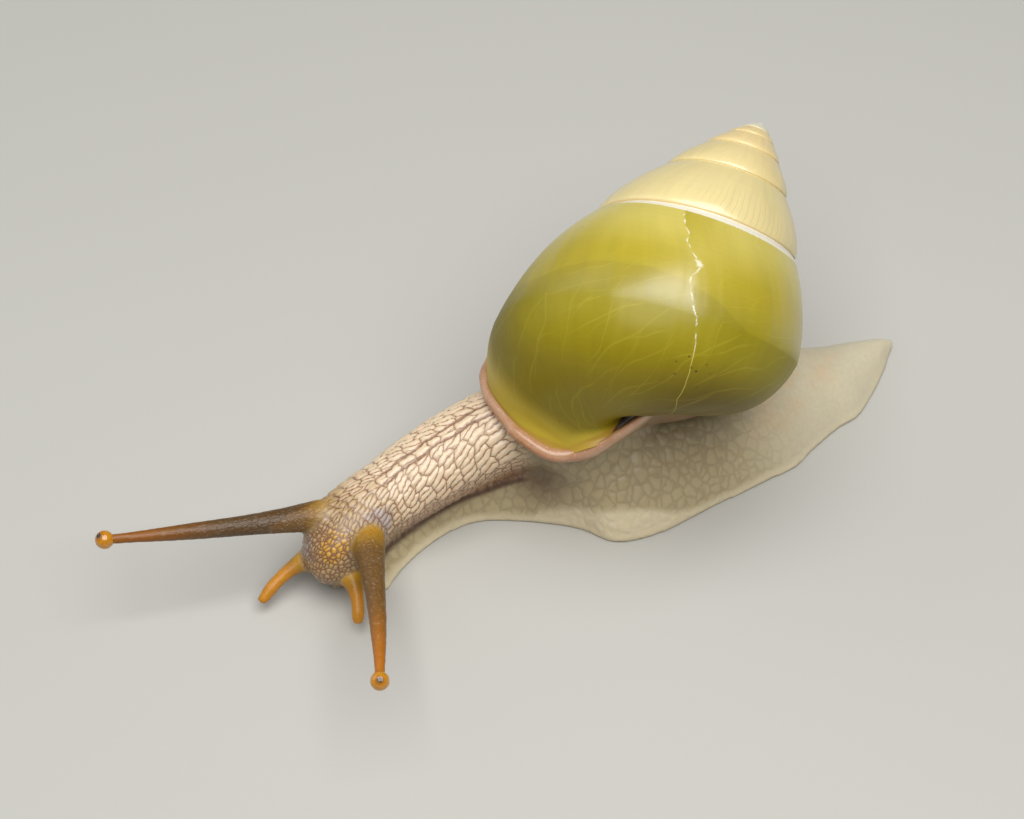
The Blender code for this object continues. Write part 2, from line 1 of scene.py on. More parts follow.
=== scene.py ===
"""The looks of a crawling tree snail: its shell, lip, skin and eyes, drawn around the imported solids.

The sole lies on Z = 0, the head points along -Y and the animal's left along +X. Named sizes are in
millimetres and become metres once, when a mesh is made.
"""

import math

import bpy
import numpy as np
from bpy.props import FloatProperty, FloatVectorProperty, PointerProperty
from bpy.types import Operator, Panel, PropertyGroup
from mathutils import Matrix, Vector


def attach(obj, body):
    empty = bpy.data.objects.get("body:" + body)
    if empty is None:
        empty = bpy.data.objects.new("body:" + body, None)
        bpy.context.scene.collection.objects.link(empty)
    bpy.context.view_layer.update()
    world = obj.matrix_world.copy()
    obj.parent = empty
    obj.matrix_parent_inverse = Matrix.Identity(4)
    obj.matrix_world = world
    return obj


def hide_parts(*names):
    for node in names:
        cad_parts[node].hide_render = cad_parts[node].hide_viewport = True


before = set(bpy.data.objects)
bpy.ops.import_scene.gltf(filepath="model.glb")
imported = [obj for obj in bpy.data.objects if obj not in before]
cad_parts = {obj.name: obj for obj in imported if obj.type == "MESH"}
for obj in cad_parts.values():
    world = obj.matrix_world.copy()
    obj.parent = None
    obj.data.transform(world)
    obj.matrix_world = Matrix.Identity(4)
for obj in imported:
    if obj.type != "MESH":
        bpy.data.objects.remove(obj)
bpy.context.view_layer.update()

bl_info = {
    "name": "Tree snail",
    "version": (1, 0, 0),
    "blender": (4, 5, 0),
    "location": "View3D > Sidebar > Snail",
    "description": "Builds the shell, skin and eyes of a crawling tree snail",
    "category": "Object",
}

MM = 0.001
TURN = 2 * math.pi

# The shell's axis: where the apex is and which way it points
APEX = np.array([-11.55, 20.55, 31.14])
AXIS_BEARING = 119.6
AXIS_RISE = 23.7
AXIS_SIDE = np.array([0.770, 0.575, -0.276])
START_ANGLE = -135.0

# Growth of the suture line: radius and distance from the apex, and their ratio from whorl to whorl
SUTURE_RADIUS = 12.35
SUTURE_DEPTH = 18.41
SUTURE_OFFSET = -0.43
RADIUS_RATIO = 1.61
DEPTH_RATIO = 1.842
FIRST_TURN = -5.6
LATE_RADIUS = (0.121, 0.030)
LATE_DEPTH = (0.076, -0.125)

# The curve of a whorl from suture to suture, then round the base to the axis
SHOULDER_LEAN = 0.724
WAIST_LEAN = -0.093
SHOULDER_REACH = 0.418
WAIST_REACH = 0.10
BASE_REACH = (0.494, 0.691)
BASE_LENGTH = 0.657
BASE_CHANGE = -0.60
LOBE_RADIUS = 0.253
DIMPLE = 0.90
BASE_END = 1.6

# Radius at which a share of the last whorl is measured as a length
MAIN_RADIUS = 15.0

# Distance from the scar and lip that stands for none, for the early whorls
FAR = 50.0

# Shell mesh: rows in a turn and columns on the side and on the base of a whorl
ROWS_PER_TURN = 320
SIDE_COLUMNS = 34
BASE_COLUMNS = 44
DIMPLE_COLUMNS = 10

# The lip's plane, the rows along the columella, the opening's middle and the lip's section
LIP_NORMAL = np.array([0.061, 0.096, 0.993])
LIP_PLANE = 12.9
COLUMELLA = [
    (-1.5, -16.6, 0.0, 1.0),
    (2.1, -15.3, 0.0, 1.0),
    (3.6, -13.3, 0.5, 0.95),
    (4.15, -11.3, 2.0, 0.9),
    (3.85, -9.3, 4.4, 0.9),
    (3.4, -7.3, 6.0, 1.0),
    (3.2, -5.3, 6.5, 1.0),
    (3.3, -3.2, 6.1, 1.1),
    (3.7, -1.2, 4.8, 1.2),
    (4.3, 0.7, 3.2, 1.1),
    (5.0, 2.5, 1.8, 0.6),
]
COLUMELLA_LEAN = 0.55
OPENING = np.array([-4.5, -5.0, 12.5])
LIP_S = np.concatenate([np.linspace(0.12, 1.0, 12), np.linspace(1.08, BASE_END, 9)])
LIP_LAST = 1.44
LIP_HEIGHT = 1.05
LIP_FLARE = 0.7
LIP_INSIDE = 0.75
LIP_ABOVE = 0.35
LIP_START = 0.06
LIP_UNEVEN = 0.04
LIP_ROWS = 320
LIP_POINTS = 44

# How far the whorl's edge turns outward at the lip at each s, and over which share of the last whorl
TURNED_OUT = [
    (0.0, 0.0),
    (0.12, 0.10),
    (1.0, 0.30),
    (1.35, 0.36),
    (1.4, 0.50),
    (1.45, 0.85),
    (1.5, 1.00),
    (1.55, 0.85),
    (1.6, 0.45),
]
TURNED_REACH = 0.045

# How far before the rest of the edge the shell's dimple ends, in turns
DIMPLE_BACK = 0.12

# Slant of the veins across the last whorl; turn from it and spacing of each set of veins
VEIN_SLANT = math.radians(27)
VEIN_SETS = ((-0.10, 2.3), (0.22, 2.9), (0.75, 4.2))

# Relief: places and widths of the grooves and of the bead, as shares of a whorl's side
GROOVE_WIDTH = 0.022
UPPER_GROOVE_WIDTH = 0.03
BEAD_PLACE = 0.045
BEAD_WIDTH = 0.028

# Growth lines: height, lines in a turn and seed of each set
GROWTH_SETS = ((0.6, 46, 1), (0.35, 110, 2), (0.2, 190, 3))

# Rise of the dome over the tip and its extra bulge
TIP_RISE = 0.32
TIP_BULGE = 0.16

# An old mended break across the last whorl: place along the growth direction at each s
SCAR = [
    (0.0, 0.623),
    (0.37, 0.623),
    (0.47, 0.610),
    (0.59, 0.625),
    (0.98, 0.617),
    (1.20, 0.600),
    (1.38, 0.583),
    (1.60, 0.510),
]

# Height and width of the ridge on the break, and the drop past it toward the lip
SCAR_RISE = 0.06
SCAR_WIDTH = 0.22
SCAR_STEP = 0.03

# A faint line along the last whorl, paler above: s at each place along the growth direction
SPIRAL = [(0.54, 0.95), (0.59, 0.70), (0.63, 0.62), (0.68, 0.57), (0.73, 0.58), (0.77, 0.63), (0.83, 0.72)]

# Foot: X and Y of the left and right margins and height of the back, from the tail to the front
FOOT = [
    (1.15, 32.45, 0.55, 32.6, 0.8),
    (2.2, 31.0, -0.5, 31.3, 1.5),
    (3.3, 29.7, -1.2, 29.7, 2.0),
    (4.8, 27.5, -2.2, 27.3, 2.7),
    (6.2, 25.1, -3.0, 24.9, 3.4),
    (7.3, 22.7, -3.9, 23.0, 4.1),
    (7.5, 19.7, -5.2, 20.2, 5.0),
    (8.4, 15.8, -6.9, 16.0, 6.0),
    (9.3, 12.8, -7.9, 12.5, 6.9),
    (9.2, 9.5, -8.6, 9.0, 7.6),
    (9.1, 6.1, -9.0, 5.5, 8.2),
    (8.9, 2.2, -9.4, 1.5, 8.8),
    (8.9, -1.5, -9.9, -2.2, 9.3),
    (8.8, -4.4, -10.4, -6.0, 9.6),
    (8.0, -8.0, -11.2, -10.0, 9.5),
    (6.6, -10.2, -12.0, -13.2, 8.8),
    (4.0, -11.6, -12.9, -16.4, 7.4),
    (1.7, -13.7, -13.6, -19.6, 5.8),
    (-1.2, -17.2, -13.7, -23.0, 4.6),
    (-3.2, -20.4, -13.2, -26.2, 4.1),
    (-3.75, -23.6, -12.3, -29.2, 3.8),
    (-3.45, -26.6, -11.3, -31.7, 3.6),
    (-2.7, -29.6, -10.3, -33.8, 3.4),
    (-1.75, -31.9, -9.2, -35.3, 3.0),
    (-0.9, -33.6, -8.0, -36.4, 2.4),
    (-1.6, -35.0, -6.6, -36.9, 1.5),
    (-3.2, -36.1, -5.2, -36.9, 0.8),
]

# Neck and head: centre and radii across and up at each station
NECK = [
    (-3.2, -7.0, 9.0, 5.6, 5.2),
    (-5.3, -11.5, 9.3, 5.2, 4.9),
    (-6.7, -15.6, 8.9, 4.8, 4.7),
    (-7.4, -20.0, 8.0, 4.6, 4.5),
    (-7.6, -25.0, 7.0, 4.4, 4.2),
    (-7.4, -29.0, 6.3, 4.1, 3.9),
    (-7.0, -32.2, 6.1, 4.1, 3.8),
    (-6.2, -35.2, 5.6, 4.3, 3.9),
    (-5.2, -37.3, 4.8, 3.7, 3.4),
    (-4.4, -38.6, 3.9, 2.8, 2.6),
    (-3.9, -39.3, 3.3, 1.9, 1.9),
    (-3.6, -39.85, 2.8, 0.5, 0.5),
]

# Pads of the neck: length, width and lean at places along it
PAD_ROWS = [
    (0.0, 3.4, 0.80, 0.00),
    (8.0, 3.0, 0.80, 0.05),
    (13.0, 2.1, 0.78, 0.40),
    (20.0, 1.80, 0.72, 0.50),
    (26.0, 1.30, 0.60, 0.45),
    (30.0, 0.85, 0.44, 0.30),
    (40.0, 0.70, 0.38, 0.20),
]

# Radius that turns an angle round the neck into a length, the back's strip and where smaller pads begin
NECK_WIDTH = 4.3
BACK_LINE = 0.22
BACK_STRIP = 0.62
CREASE_AROUND = 6.2
SNOUT_ARC = 30.2
HEAD_ARC = 28.5

# A pad's length over its width, its fall along the neck, and how much finer the smaller pads are
PAD_RATIO = 4.3
PAD_RATIO_FALL = 0.085
SMALL_ALONG = 1.9
SMALL_ACROSS = 1.45

# Sizes of the snout's cells and the foot's cells
SNOUT_CELL = (0.42, 0.58, 0.52)
FOOT_CELL = (1.15, 1.15, 1.6)

# Patches on the head: place along and round the neck, then radii
GREY_PATCH = ((27.6, 4.2), (2.6, 2.0))
GREY_SPOT = ((32.9, -3.0), (1.2, 1.2))
YELLOW_PATCH = ((31.9, 1.1), (1.7, 2.1))

# Where the skin's parts and its painted shade fade: shares of a radius, places along the neck, heights and
# distances
NECK_REACH = (1.08, 1.35)
NECK_RISE = (1.5, 3.5)
NECK_START = (6.0, 9.5)
MOUTH_REACH = (2.4, 1.8)
CREASE_SHADE_START = (4.0, 9.0)
CREASE_SHADE_TOP = 8.5
OPENING_SHADE_RISE = (11.8, 12.8)
OPENING_SHADE_REACH = (9.0, 7.5)
STEM_REACH = (1.15, 1.5)
STEM_ROOT = (1.0, 1.25)
TAIL_START = (2.0, 18.0)

# Where painted light widens the foot's pale edge and how far that reaches; X that parts the right stalk,
# darkened by painted shade, from the left
MARGIN_LIGHT_PLACE = -8.5
MARGIN_LIGHT_REACH = 5.5
SHADED_STALK_SIDE = -8.5

# Middle of the painted shade in the hollow under the lip, and its reach
LIP_SHADE_CENTRE = (-1.8, -13.2, 5.0)
LIP_SHADE_REACH = 3.4

# The body's column inside the shell's opening: height, centre, radii and turn in degrees
COLUMN = [
    (3.5, -2.4, -4.6, 5.4, 7.6, 14.0),
    (6.0, -2.8, -5.0, 6.2, 8.3, 13.0),
    (8.5, -3.5, -5.6, 6.6, 8.8, 12.0),
    (10.8, -4.3, -6.0, 6.8, 9.0, 10.0),
    (12.8, -4.8, -5.9, 6.7, 8.9, 10.0),
    (14.6, -4.8, -5.4, 5.6, 7.8, 10.0),
    (15.6, -4.8, -5.2, 3.4, 5.0, 10.0),
]

# Shape of the foot's back: powers of its arch, how its points bunch at the margins, height of the margins
ARCH = (2.1, 0.8)
MARGIN_BUNCH = 1.4
MARGIN_HEIGHT = 0.25

# Rounding of the hollows: passes that even, grow, blur and round, and where a hollow starts to count
EVEN_PASSES = 4
GROW_PASSES = 5
BLUR_PASSES = 6
ROUND_PASSES = 40
HOLLOW_START = 0.004
HOLLOW_RANGE = 0.012

# Tentacles: start, end and sag at the middle, with the radii along them; size and gaze of the eyes
EYE_RADIUS = 0.98
EYE_SHOULDER = 0.10
GAZE_AHEAD = 0.62
GAZE_UP = 0.78
STALK_RADII = (1.9, 1.68, 1.36, 1.15, 1.02, 0.92, 0.78, 0.62, 0.52)
LEFT_STALK = ((-4.0, -34.0, 7.1), (15.3, -43.9, 11.1), (0.2, 0.3, 0.3))
RIGHT_STALK = ((-7.3, -34.8, 7.5), (-15.7, -58.3, 10.3), (0.6, 0.0, 0.4))
FEELER_RADII = (1.6, 1.45, 1.02, 0.80, 0.72, 0.72, 0.5)
LEFT_FEELER = ((-3.3, -36.9, 3.9), (2.1, -39.0, 1.6), (0.4, 0.3, 0.4))
RIGHT_FEELER = ((-6.2, -38.2, 4.0), (-5.8, -46.1, 1.6), (-0.7, 0.1, 0.4))

# The mouth: a slit between two soft lobes under the snout
MOUTH = (-4.15, -38.2, 2.05)
MOUTH_SIDE = (-0.97, -0.25, 0.0)
LOBE_APART = 0.62
LOBE_RADII = (0.78, 0.95, 1.0)
CREASE_DEPTH = 0.45

# The camera of the picture: where it stands, which way it looks back and its lens
CAMERA_PLACE = (156.6, -120.1, 243.5)
CAMERA_AZIMUTH = 57.0
CAMERA_ELEVATION = 50.0
CAMERA_LENS = 100.0

# The floor's reach and bend, and the places of the lights
FLOOR_FRONT = 900
FLOOR_BACK = 600
FLOOR_BEND = 400
FLOOR_HALF = 1400
KEY_TARGET = np.array([4.0, -4.0, 26.0])
KEY_TOWARD = np.array([0.217, -0.085, 0.973])
KEY_DISTANCE = 330
FILL_PLACE = (-320, -260, 260)
FILL_TARGET = (0, 0, 10)
FILL_WIDTH = 420


def tone(red, green, blue):
    """A colour given as it shows on a screen, 0 to 255, turned into linear light."""
    share = np.array([red, green, blue]) / 255.0
    linear = np.where(share <= 0.04045, share / 12.92, ((share + 0.055) / 1.055) ** 2.4)
    return tuple(float(v) for v in linear)


def colour(name, description, red, green, blue):
    """A colour that can be set in the panel, given as it shows on a screen."""
    limits = {"default": tone(red, green, blue), "min": 0.0, "max": 1.0}
    return FloatVectorProperty(name=name, description=description, subtype="COLOR", **limits)


def size(name, description, default, low=0.0, high=10.0, **kind):
    """A number with its limits: a size in millimetres, unless its kind or description says otherwise."""
    return FloatProperty(name=name, description=description, default=default, min=low, max=high, **kind)


class ShellSettings(PropertyGroup):
    shoulder: colour("Shoulder", "Pale yellow next to the suture", 204, 188, 92)
    yellow: colour("Yellow", "Deep yellow of the shoulder", 176, 158, 34)
    body: colour("Body whorl", "Olive green of the last whorl's side", 150, 137, 28)
    base: colour("Base", "Olive of the base", 134, 118, 12)
    # Brown: partly the shell's own, partly painted shade under the base and on the side before the lip
    brown: colour("Brown", "Brown olive under the base and by the lip", 94, 78, 5)
    vein: colour("Veins", "Pale yellow veins", 206, 194, 70)
    spire: colour("Spire", "Cream of the upper whorls", 224, 206, 146)
    early: colour("Early whorls", "Peach cream of the first whorls", 230, 206, 148)
    tip: colour("Tip", "Pale tip of the spire", 226, 222, 192)
    band: colour("Suture band", "White line that edges the last whorl", 236, 230, 212)
    hair: colour("Hairlines", "Grey hairlines of the upper whorls", 150, 144, 118)
    rim: colour("Rim", "Tan beside the lip", 170, 128, 58)
    speck: colour("Specks", "Brown specks", 84, 56, 34)
    peach: colour("Peach", "Peach line above the suture", 222, 172, 112)
    ochre: colour("Ochre band", "Smooth band behind the lip", 206, 180, 60)
    lip: colour("Lip", "Pinkish brown of the turned lip", 190, 146, 112)
    edge: colour("Lip's edge", "Orange brown of the lip's outer edge", 160, 96, 44)
    grain: colour("Lip's grain", "Pale grain of the lip", 232, 206, 182)
    columella: colour("Columella", "Brown of the columella's wall", 112, 72, 40)
    callus: colour("Callus", "Pale upper edge of the columella's wall", 196, 194, 160)
    growth: size("Growth lines", "Height of the growth lines", 0.035, high=0.3)
    bulge: size("Bulge", "Swelling of the upper whorls, in radii", 0.030, high=1.0)
    groove: size("Suture depth", "Depth of the groove between whorls", 0.20, high=1.0)
    gloss: size("Gloss", "Clear coat over the shell", 1.0, high=1.0, subtype="FACTOR")


class SkinSettings(PropertyGroup):
    cream: colour("Tubercles", "Cream of the neck's tubercles", 222, 198, 166)
    furrow: colour("Furrows", "Brown between the tubercles", 146, 100, 68)
    lilac: colour("Lilac", "Grey lilac behind the left tentacle", 150, 142, 146)
    olive: colour("Head", "Olive tan of the head's small tubercles", 176, 146, 98)
    yellow: colour("Yellow", "Yellow at the roots of the tentacles", 216, 160, 4)
    foot: colour("Foot", "Olive beige of the foot's side", 182, 166, 128)
    tail: colour("Tail", "Pale end of the foot", 206, 196, 168)
    stalk: colour("Eye stalk", "Brown grey of the eye stalks", 110, 78, 32)
    orange: colour("Orange", "Orange of the eye stalks' tips", 172, 102, 10)
    gold: colour("Gold", "Golden orange of the lower tentacles", 190, 126, 10)
    # Inside: painted shade, dark brown on the skin deep in the shell's opening
    inside: colour("Inside", "Dark brown inside the shell's opening", 52, 34, 20)
    # Flank: partly the neck's own tan, partly painted shade low on its side
    tan: colour("Flank", "Tan of the tubercles low on the neck", 168, 124, 84)
    # Dark furrows: the real deepest furrows, and the colour of the painted shade where the neck meets the
    # foot, under the lip, in the mouth's slit and high on the foot
    dark_furrow_and_shade: colour("Dark furrows", "Dark brown of the deepest furrows", 76, 48, 30)
    # Margin: the foot's own pale edge, and painted light where it widens along the middle of the left side
    margin: colour("Margin", "Pale edge of the foot", 224, 210, 176)
    line: colour("Foot's lines", "Brown lines between the foot's cells", 116, 92, 62)
    peach: colour("Peach", "Peach tint on the tail's ridge", 214, 170, 122)
    grey: colour("Grey", "Grey tint on the eye stalks", 118, 104, 88)
    voxel: size("Cell size", "Cell size of the skin's mesh", 0.25, low=0.15, high=0.6)
    tubercle: size("Tubercle height", "Height of the neck's tubercles", 0.20, high=0.5)
    mesh_cells: size("Foot cells", "Height of the cells on the foot", 0.07, high=0.5)
    grain: size("Grain", "Height of the grain on the tentacles", 0.10, high=0.5)


class EyeSettings(PropertyGroup):
    bulb: colour("Bulb", "Orange of the eye bulbs", 190, 128, 16)
    pale: colour("Pale", "Paler orange clouds in the bulbs", 204, 142, 26)
    ring: colour("Ring", "Brown round the dark eye", 120, 66, 30)
    dot: colour("Eye", "The dark eye", 22, 16, 14)
    dot_radius: size("Eye radius", "Radius of the dark eye", 0.27, low=0.05, high=0.6)


class StageSettings(PropertyGroup):
    floor: colour("Floor", "Pale floor", 184, 182, 175)
    key: size("Key light", "Power of the main light, in watts", 1.85, high=100.0, unit="POWER")
    key_width: size("Key width", "Width of the main light", 370.0, low=20.0, high=600.0)
    fill: size("Fill light", "Power of the side light, in watts", 0.40, high=100.0, unit="POWER")
    sky: size("Surroundings", "Strength of the even light", 0.16)


# Shader maths


class Value:
    """A shader socket that can be added to, multiplied and so on, each step adding a Math node."""

    def __init__(self, look, socket):
        self.look = look
        self.socket = socket

    def math(self, operation, first, second):
        return self.look.node("ShaderNodeMath", {"operation": operation}, {0: first, 1: second})

    def __add__(self, other):
        return self.math("ADD", self, other)

    __radd__ = __add__

    def __sub__(self, other):
        return self.math("SUBTRACT", self, other)

    def __rsub__(self, other):
        return self.math("SUBTRACT", other, self)

    def __mul__(self, other):
        return self.math("MULTIPLY", self, other)

    __rmul__ = __mul__

    def __truediv__(self, other):
        return self.math("DIVIDE", self, other)

    def least(self, other):
        return self.math("MINIMUM", self, other)

    def most(self, other):
        return self.math("MAXIMUM", self, other)

    def size(self):
        return self.math("ABSOLUTE", self, 0.0)

    def from_line(self):
        """Distance from the nearest half number, 0 to 0.5."""
        return (self.math("FRACT", self, 0.0) - 0.5).size()

    def over(self, level):
        """1 where the value is over a level, else 0."""
        return self.math("GREATER_THAN", self, level)


class Look:
    """A material whose nodes are added by calls."""

    def __init__(self, name):
        self.material = bpy.data.materials.new(name)
        self.material.use_nodes = True
        self.tree = self.material.node_tree
        self.shader = self.tree.nodes["Principled BSDF"]
        self.known = {}

    def node(self, kind, settings=None, sockets=None, out=0):
        """Any node: its settings first, then the values or links of its sockets."""
        made = self.tree.nodes.new(kind)
        for key, value in (settings or {}).items():
            setattr(made, key, value)
        for key, value in (sockets or {}).items():
            self.join(made.inputs[key], value)
        return None if out is None else Value(self, made.outputs[out])

    def join(self, socket, value):
        if isinstance(value, Value):
            self.tree.links.new(value.socket, socket)
        elif socket.type == "RGBA" and len(value) == 3:
            socket.default_value = (*value, 1.0)
        else:
            socket.default_value = value

    def set(self, **sockets):
        """Values or links of the surface shader, with the socket's spaces written as underscores."""
        for key, value in sockets.items():
            self.join(self.shader.inputs[key.replace("_", " ")], value)

    def field(self, name):
        """A number stored at each point of the mesh."""
        if name not in self.known:
            self.known[name] = self.stored(name)
        return self.known[name]

    def stored(self, name):
        return self.node("ShaderNodeAttribute", {"attribute_name": name}, out=2)

    def spot(self):
        return self.node("ShaderNodeTexCoord", out=3)

    def place(self, scale=(1.0, 1.0, 1.0)):
        """The place of a point in millimetres, stretched by a scale."""
        factors = tuple(1000.0 * v for v in scale)
        return self.node("ShaderNodeVectorMath", {"operation": "MULTIPLY"}, {0: self.spot(), 1: factors})

    def vector(self, x, y, z=0.0):
        return self.node("ShaderNodeCombineXYZ", None, {0: x, 1: y, 2: z})

    def noise(self, at, scale, detail=3.0, roughness=0.5):
        sockets = {"Vector": at, "Scale": scale, "Detail": detail, "Roughness": roughness}
        return self.node("ShaderNodeTexNoise", None, sockets)

    def cells(self, at, scale, feature="F1", out=0, random=1.0, flat=False):
        settings = {"voronoi_dimensions": "2D" if flat else "3D", "feature": feature}
        sockets = {"Vector": at, "Scale": scale, "Randomness": random}
        return self.node("ShaderNodeTexVoronoi", settings, sockets, out)

    def cell_edge(self, at, scale=1.0, random=1.0, flat=False):
        """Distance from the nearest side of a cell."""
        return self.cells(at, scale, "DISTANCE_TO_EDGE", 0, random, flat)

    def line_noise(self, at, seed):
        """Smooth noise along one number, from about -1 to 1."""
        wave = self.noise(self.vector(at, seed), 1.0, 1.0)
        return (wave - 0.5) * 3.0

    def ramp(self, value, low, high):
        """0 below low, 1 above high and smooth between them; low may be the larger."""
        settings = {"interpolation_type": "SMOOTHSTEP"}
        return self.node("ShaderNodeMapRange", settings, {"Value": value, "From Min": low, "From Max": high})

    def mix(self, first, second, share):
        sockets = {0: share, 6: first, 7: second}
        return self.node("ShaderNodeMix", {"data_type": "RGBA"}, sockets, out=2)

    def layers(self, shade, *coats):
        """A colour with others laid over it in turn, each by its own share."""
        for coat, share in coats:
            shade = self.mix(shade, coat, share)
        return shade

    def shade(self, first, amount):
        """A colour made lighter or darker by a factor."""
        return self.node("ShaderNodeVectorMath", {"operation": "SCALE"}, {0: first, 3: amount})

    def bump(self, height, distance, strength):
        sockets = {"Height": height, "Distance": distance * MM, "Strength": strength}
        return self.node("ShaderNodeBump", None, sockets)


class Carving(Look):
    """The same calls in a tree of geometry nodes, which moves the points of a mesh along their normals."""

    def __init__(self, name):
        self.tree = bpy.data.node_groups.new(name, "GeometryNodeTree")
        self.tree.interface.new_socket("Geometry", in_out="INPUT", socket_type="NodeSocketGeometry")
        self.tree.interface.new_socket("Geometry", in_out="OUTPUT", socket_type="NodeSocketGeometry")
        self.known = {}

    def stored(self, name):
        return self.node("GeometryNodeInputNamedAttribute", {"data_type": "FLOAT"}, {"Name": name})

    def spot(self):
        return self.node("GeometryNodeInputPosition")

    def carve(self, piece, height):
        """Lifts each point of a piece by a height in millimetres and keeps the mesh that this gives."""
        normal = self.node("GeometryNodeInputNormal")
        offset = self.node("ShaderNodeVectorMath", {"operation": "SCALE"}, {0: normal, 3: height * MM})
        shape = self.node("NodeGroupInput")
        moved = self.node("GeometryNodeSetPosition", None, {"Geometry": shape, "Offset": offset})
        self.node("NodeGroupOutput", None, {0: moved}, out=None)
        carving = piece.modifiers.new("carving", "NODES")
        carving.node_group = self.tree
        made = modified_mesh(piece)
        piece.modifiers.remove(carving)
        before = piece.data
        piece.data = made
        made.name = before.name
        bpy.data.meshes.remove(before)


# Meshes


def modified_mesh(piece):
    """A new mesh of the piece as its modifiers make it."""
    bpy.context.view_layer.update()
    graph = bpy.context.evaluated_depsgraph_get()
    return bpy.data.meshes.new_from_object(piece.evaluated_get(graph))


def mesh_piece(name, points, faces, look, fields=None):
    """A mesh from points in millimetres, with a number at each point for each field."""
    data = bpy.data.meshes.new(name)
    data.from_pydata((np.asarray(points) * MM).tolist(), [], faces)
    for key, values in (fields or {}).items():
        made = data.attributes.new(key, "FLOAT", "POINT")
        made.data.foreach_set("value", np.asarray(values, np.float32))
    data.shade_smooth()
    data.materials.append(look.material)
    piece = bpy.data.objects.new(name, data)
    bpy.context.scene.collection.objects.link(piece)
    return piece


def set_on_frame(piece, slot, *nodes):
    """The piece moves with the model and stands for some solids, which it hides; the slot is not used."""
    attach(piece, "root")
    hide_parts(*nodes)


def grid_faces(index, closed=False):
    """Quads between the rows and columns of a grid of point numbers, round again if it is closed."""
    if closed:
        index = np.concatenate([index, index[:, :1]], axis=1)
    corners = (index[:-1, :-1], index[:-1, 1:], index[1:, 1:], index[1:, :-1])
    return np.stack(corners, -1).reshape(-1, 4)


def loft(rings):
    """A closed body through closed rings, each end closed by a fan from its middle."""
    rings = np.asarray(rings)
    count, around = rings.shape[:2]
    index = np.arange(count * around).reshape(count, around)
    faces = grid_faces(index, closed=True)[:, ::-1].tolist()
    points = np.vstack([rings.reshape(-1, 3), rings[0].mean(0), rings[-1].mean(0)])
    low, high = count * around, count * around + 1
    following = np.roll(index, -1, axis=1)
    faces += [(low, int(a), int(b)) for a, b in zip(index[0], following[0])]
    faces += [(high, int(b), int(a)) for a, b in zip(index[-1], following[-1])]
    return points, faces


def smooth_path(rows, count):
    """Rows of numbers followed by a Catmull-Rom curve at an even step, count rows in all."""
    rows = np.asarray(rows, float)
    padded = np.vstack([2 * rows[0] - rows[1], rows, 2 * rows[-1] - rows[-2]])
    at = np.linspace(0, len(rows) - 1, count)
    part = np.minimum(at.astype(int), len(rows) - 2)
    t = (at - part)[:, None]
    a, b, c, d = (padded[part + k] for k in range(4))
    return 0.5 * (2 * b + (c - a) * t + (2 * a - 5 * b + 4 * c - d) * t**2 + (3 * b - a - 3 * c + d) * t**3)


def step(low, high, value):
    """0 below low, 1 above high and smooth between them."""
    t = np.clip((value - low) / (high - low), 0, 1)
    return t * t * (3 - 2 * t)


def circle(count):
    """Even angles once round."""
    return np.linspace(0, TURN, count, endpoint=False)


def unit(vectors):
    return vectors / np.maximum(np.linalg.norm(vectors, axis=-1, keepdims=True), 1e-12)


def wander(at, seed, count=4000):
    """Smooth noise along a line, from -1 to 1: random levels at whole numbers joined by cosine steps."""
    levels = np.random.default_rng(seed).uniform(-1, 1, count)
    low = np.floor(at).astype(int)
    t = at - low
    t = 0.5 - 0.5 * np.cos(math.pi * t)
    return levels[low % count] * (1 - t) + levels[(low + 1) % count] * t


# Shell


def shell_axes():
    """The axis toward the apex, a direction square to it and a third square to both."""
    bearing, rise = math.radians(AXIS_BEARING), math.radians(AXIS_RISE)
    axis = np.array([
        math.cos(bearing) * math.cos(rise),
        math.sin(bearing) * math.cos(rise),
        math.sin(rise),
    ])
    across = unit(AXIS_SIDE - axis * (AXIS_SIDE @ axis))
    return axis, across, np.cross(across, axis)


def suture(turn):
    """Radius and depth of the suture line, which grow by a fixed ratio each turn, less at the end."""
    late = np.clip(turn, 0, None)
    radius = SUTURE_RADIUS * RADIUS_RATIO**turn * (1 - LATE_RADIUS[0] * late - LATE_RADIUS[1] * late**2)
    depth = SUTURE_DEPTH * DEPTH_RATIO**turn + SUTURE_OFFSET
    return radius, depth * (1 - LATE_DEPTH[0] * late - LATE_DEPTH[1] * late**2)


def bezier(a, b, c, d, t):
    q = 1 - t
    return q**3 * a + 3 * q * q * t * b + 3 * q * t * t * c + t**3 * d


def whorl_profile(turn, s):
    """Radius and depth on a whorl: s 0 to 1 is suture to suture, 1 to 1.6 the base, 1.6 to 2 the dimple."""
    ra, ha = suture(turn)
    rb, hb = suture(turn + 1)
    span = np.hypot(rb - ra, hb - ha)
    w = np.clip(s, 0, 1)
    start = (math.sin(SHOULDER_LEAN), math.cos(SHOULDER_LEAN))
    waist = (math.sin(WAIST_LEAN), math.cos(WAIST_LEAN))
    k0, k1 = SHOULDER_REACH * span, WAIST_REACH * span
    side_r = bezier(ra, ra + k0 * start[0], rb - k1 * waist[0], rb, w)
    side_h = bezier(ha, ha + k0 * start[1], hb - k1 * waist[1], hb, w)
    length = (BASE_LENGTH + BASE_CHANGE * np.clip(turn + 0.45, 0, None)) * rb
    lobe_r, lobe_h = LOBE_RADIUS * rb, hb + length
    q = np.clip((s - 1) / (BASE_END - 1), 0, 1)
    reach = BASE_REACH[0] * length
    base_r = bezier(rb, rb + reach * waist[0], lobe_r + BASE_REACH[1] * (rb - lobe_r), lobe_r, q)
    base_h = bezier(hb, hb + reach * waist[1], lobe_h, lobe_h, q)
    q = np.clip((s - BASE_END) / (2 - BASE_END), 0, 1)
    inner_r, inner_h = 0.02 * rb, hb + DIMPLE * length
    dimple_r = bezier(lobe_r, 0.6 * lobe_r, 0.3 * lobe_r, inner_r, q)
    dimple_h = bezier(lobe_h, lobe_h, inner_h, inner_h, q)
    radius = np.where(s <= 1, side_r, np.where(s <= BASE_END, base_r, dimple_r))
    return radius, np.where(s <= 1, side_h, np.where(s <= BASE_END, base_h, dimple_h))


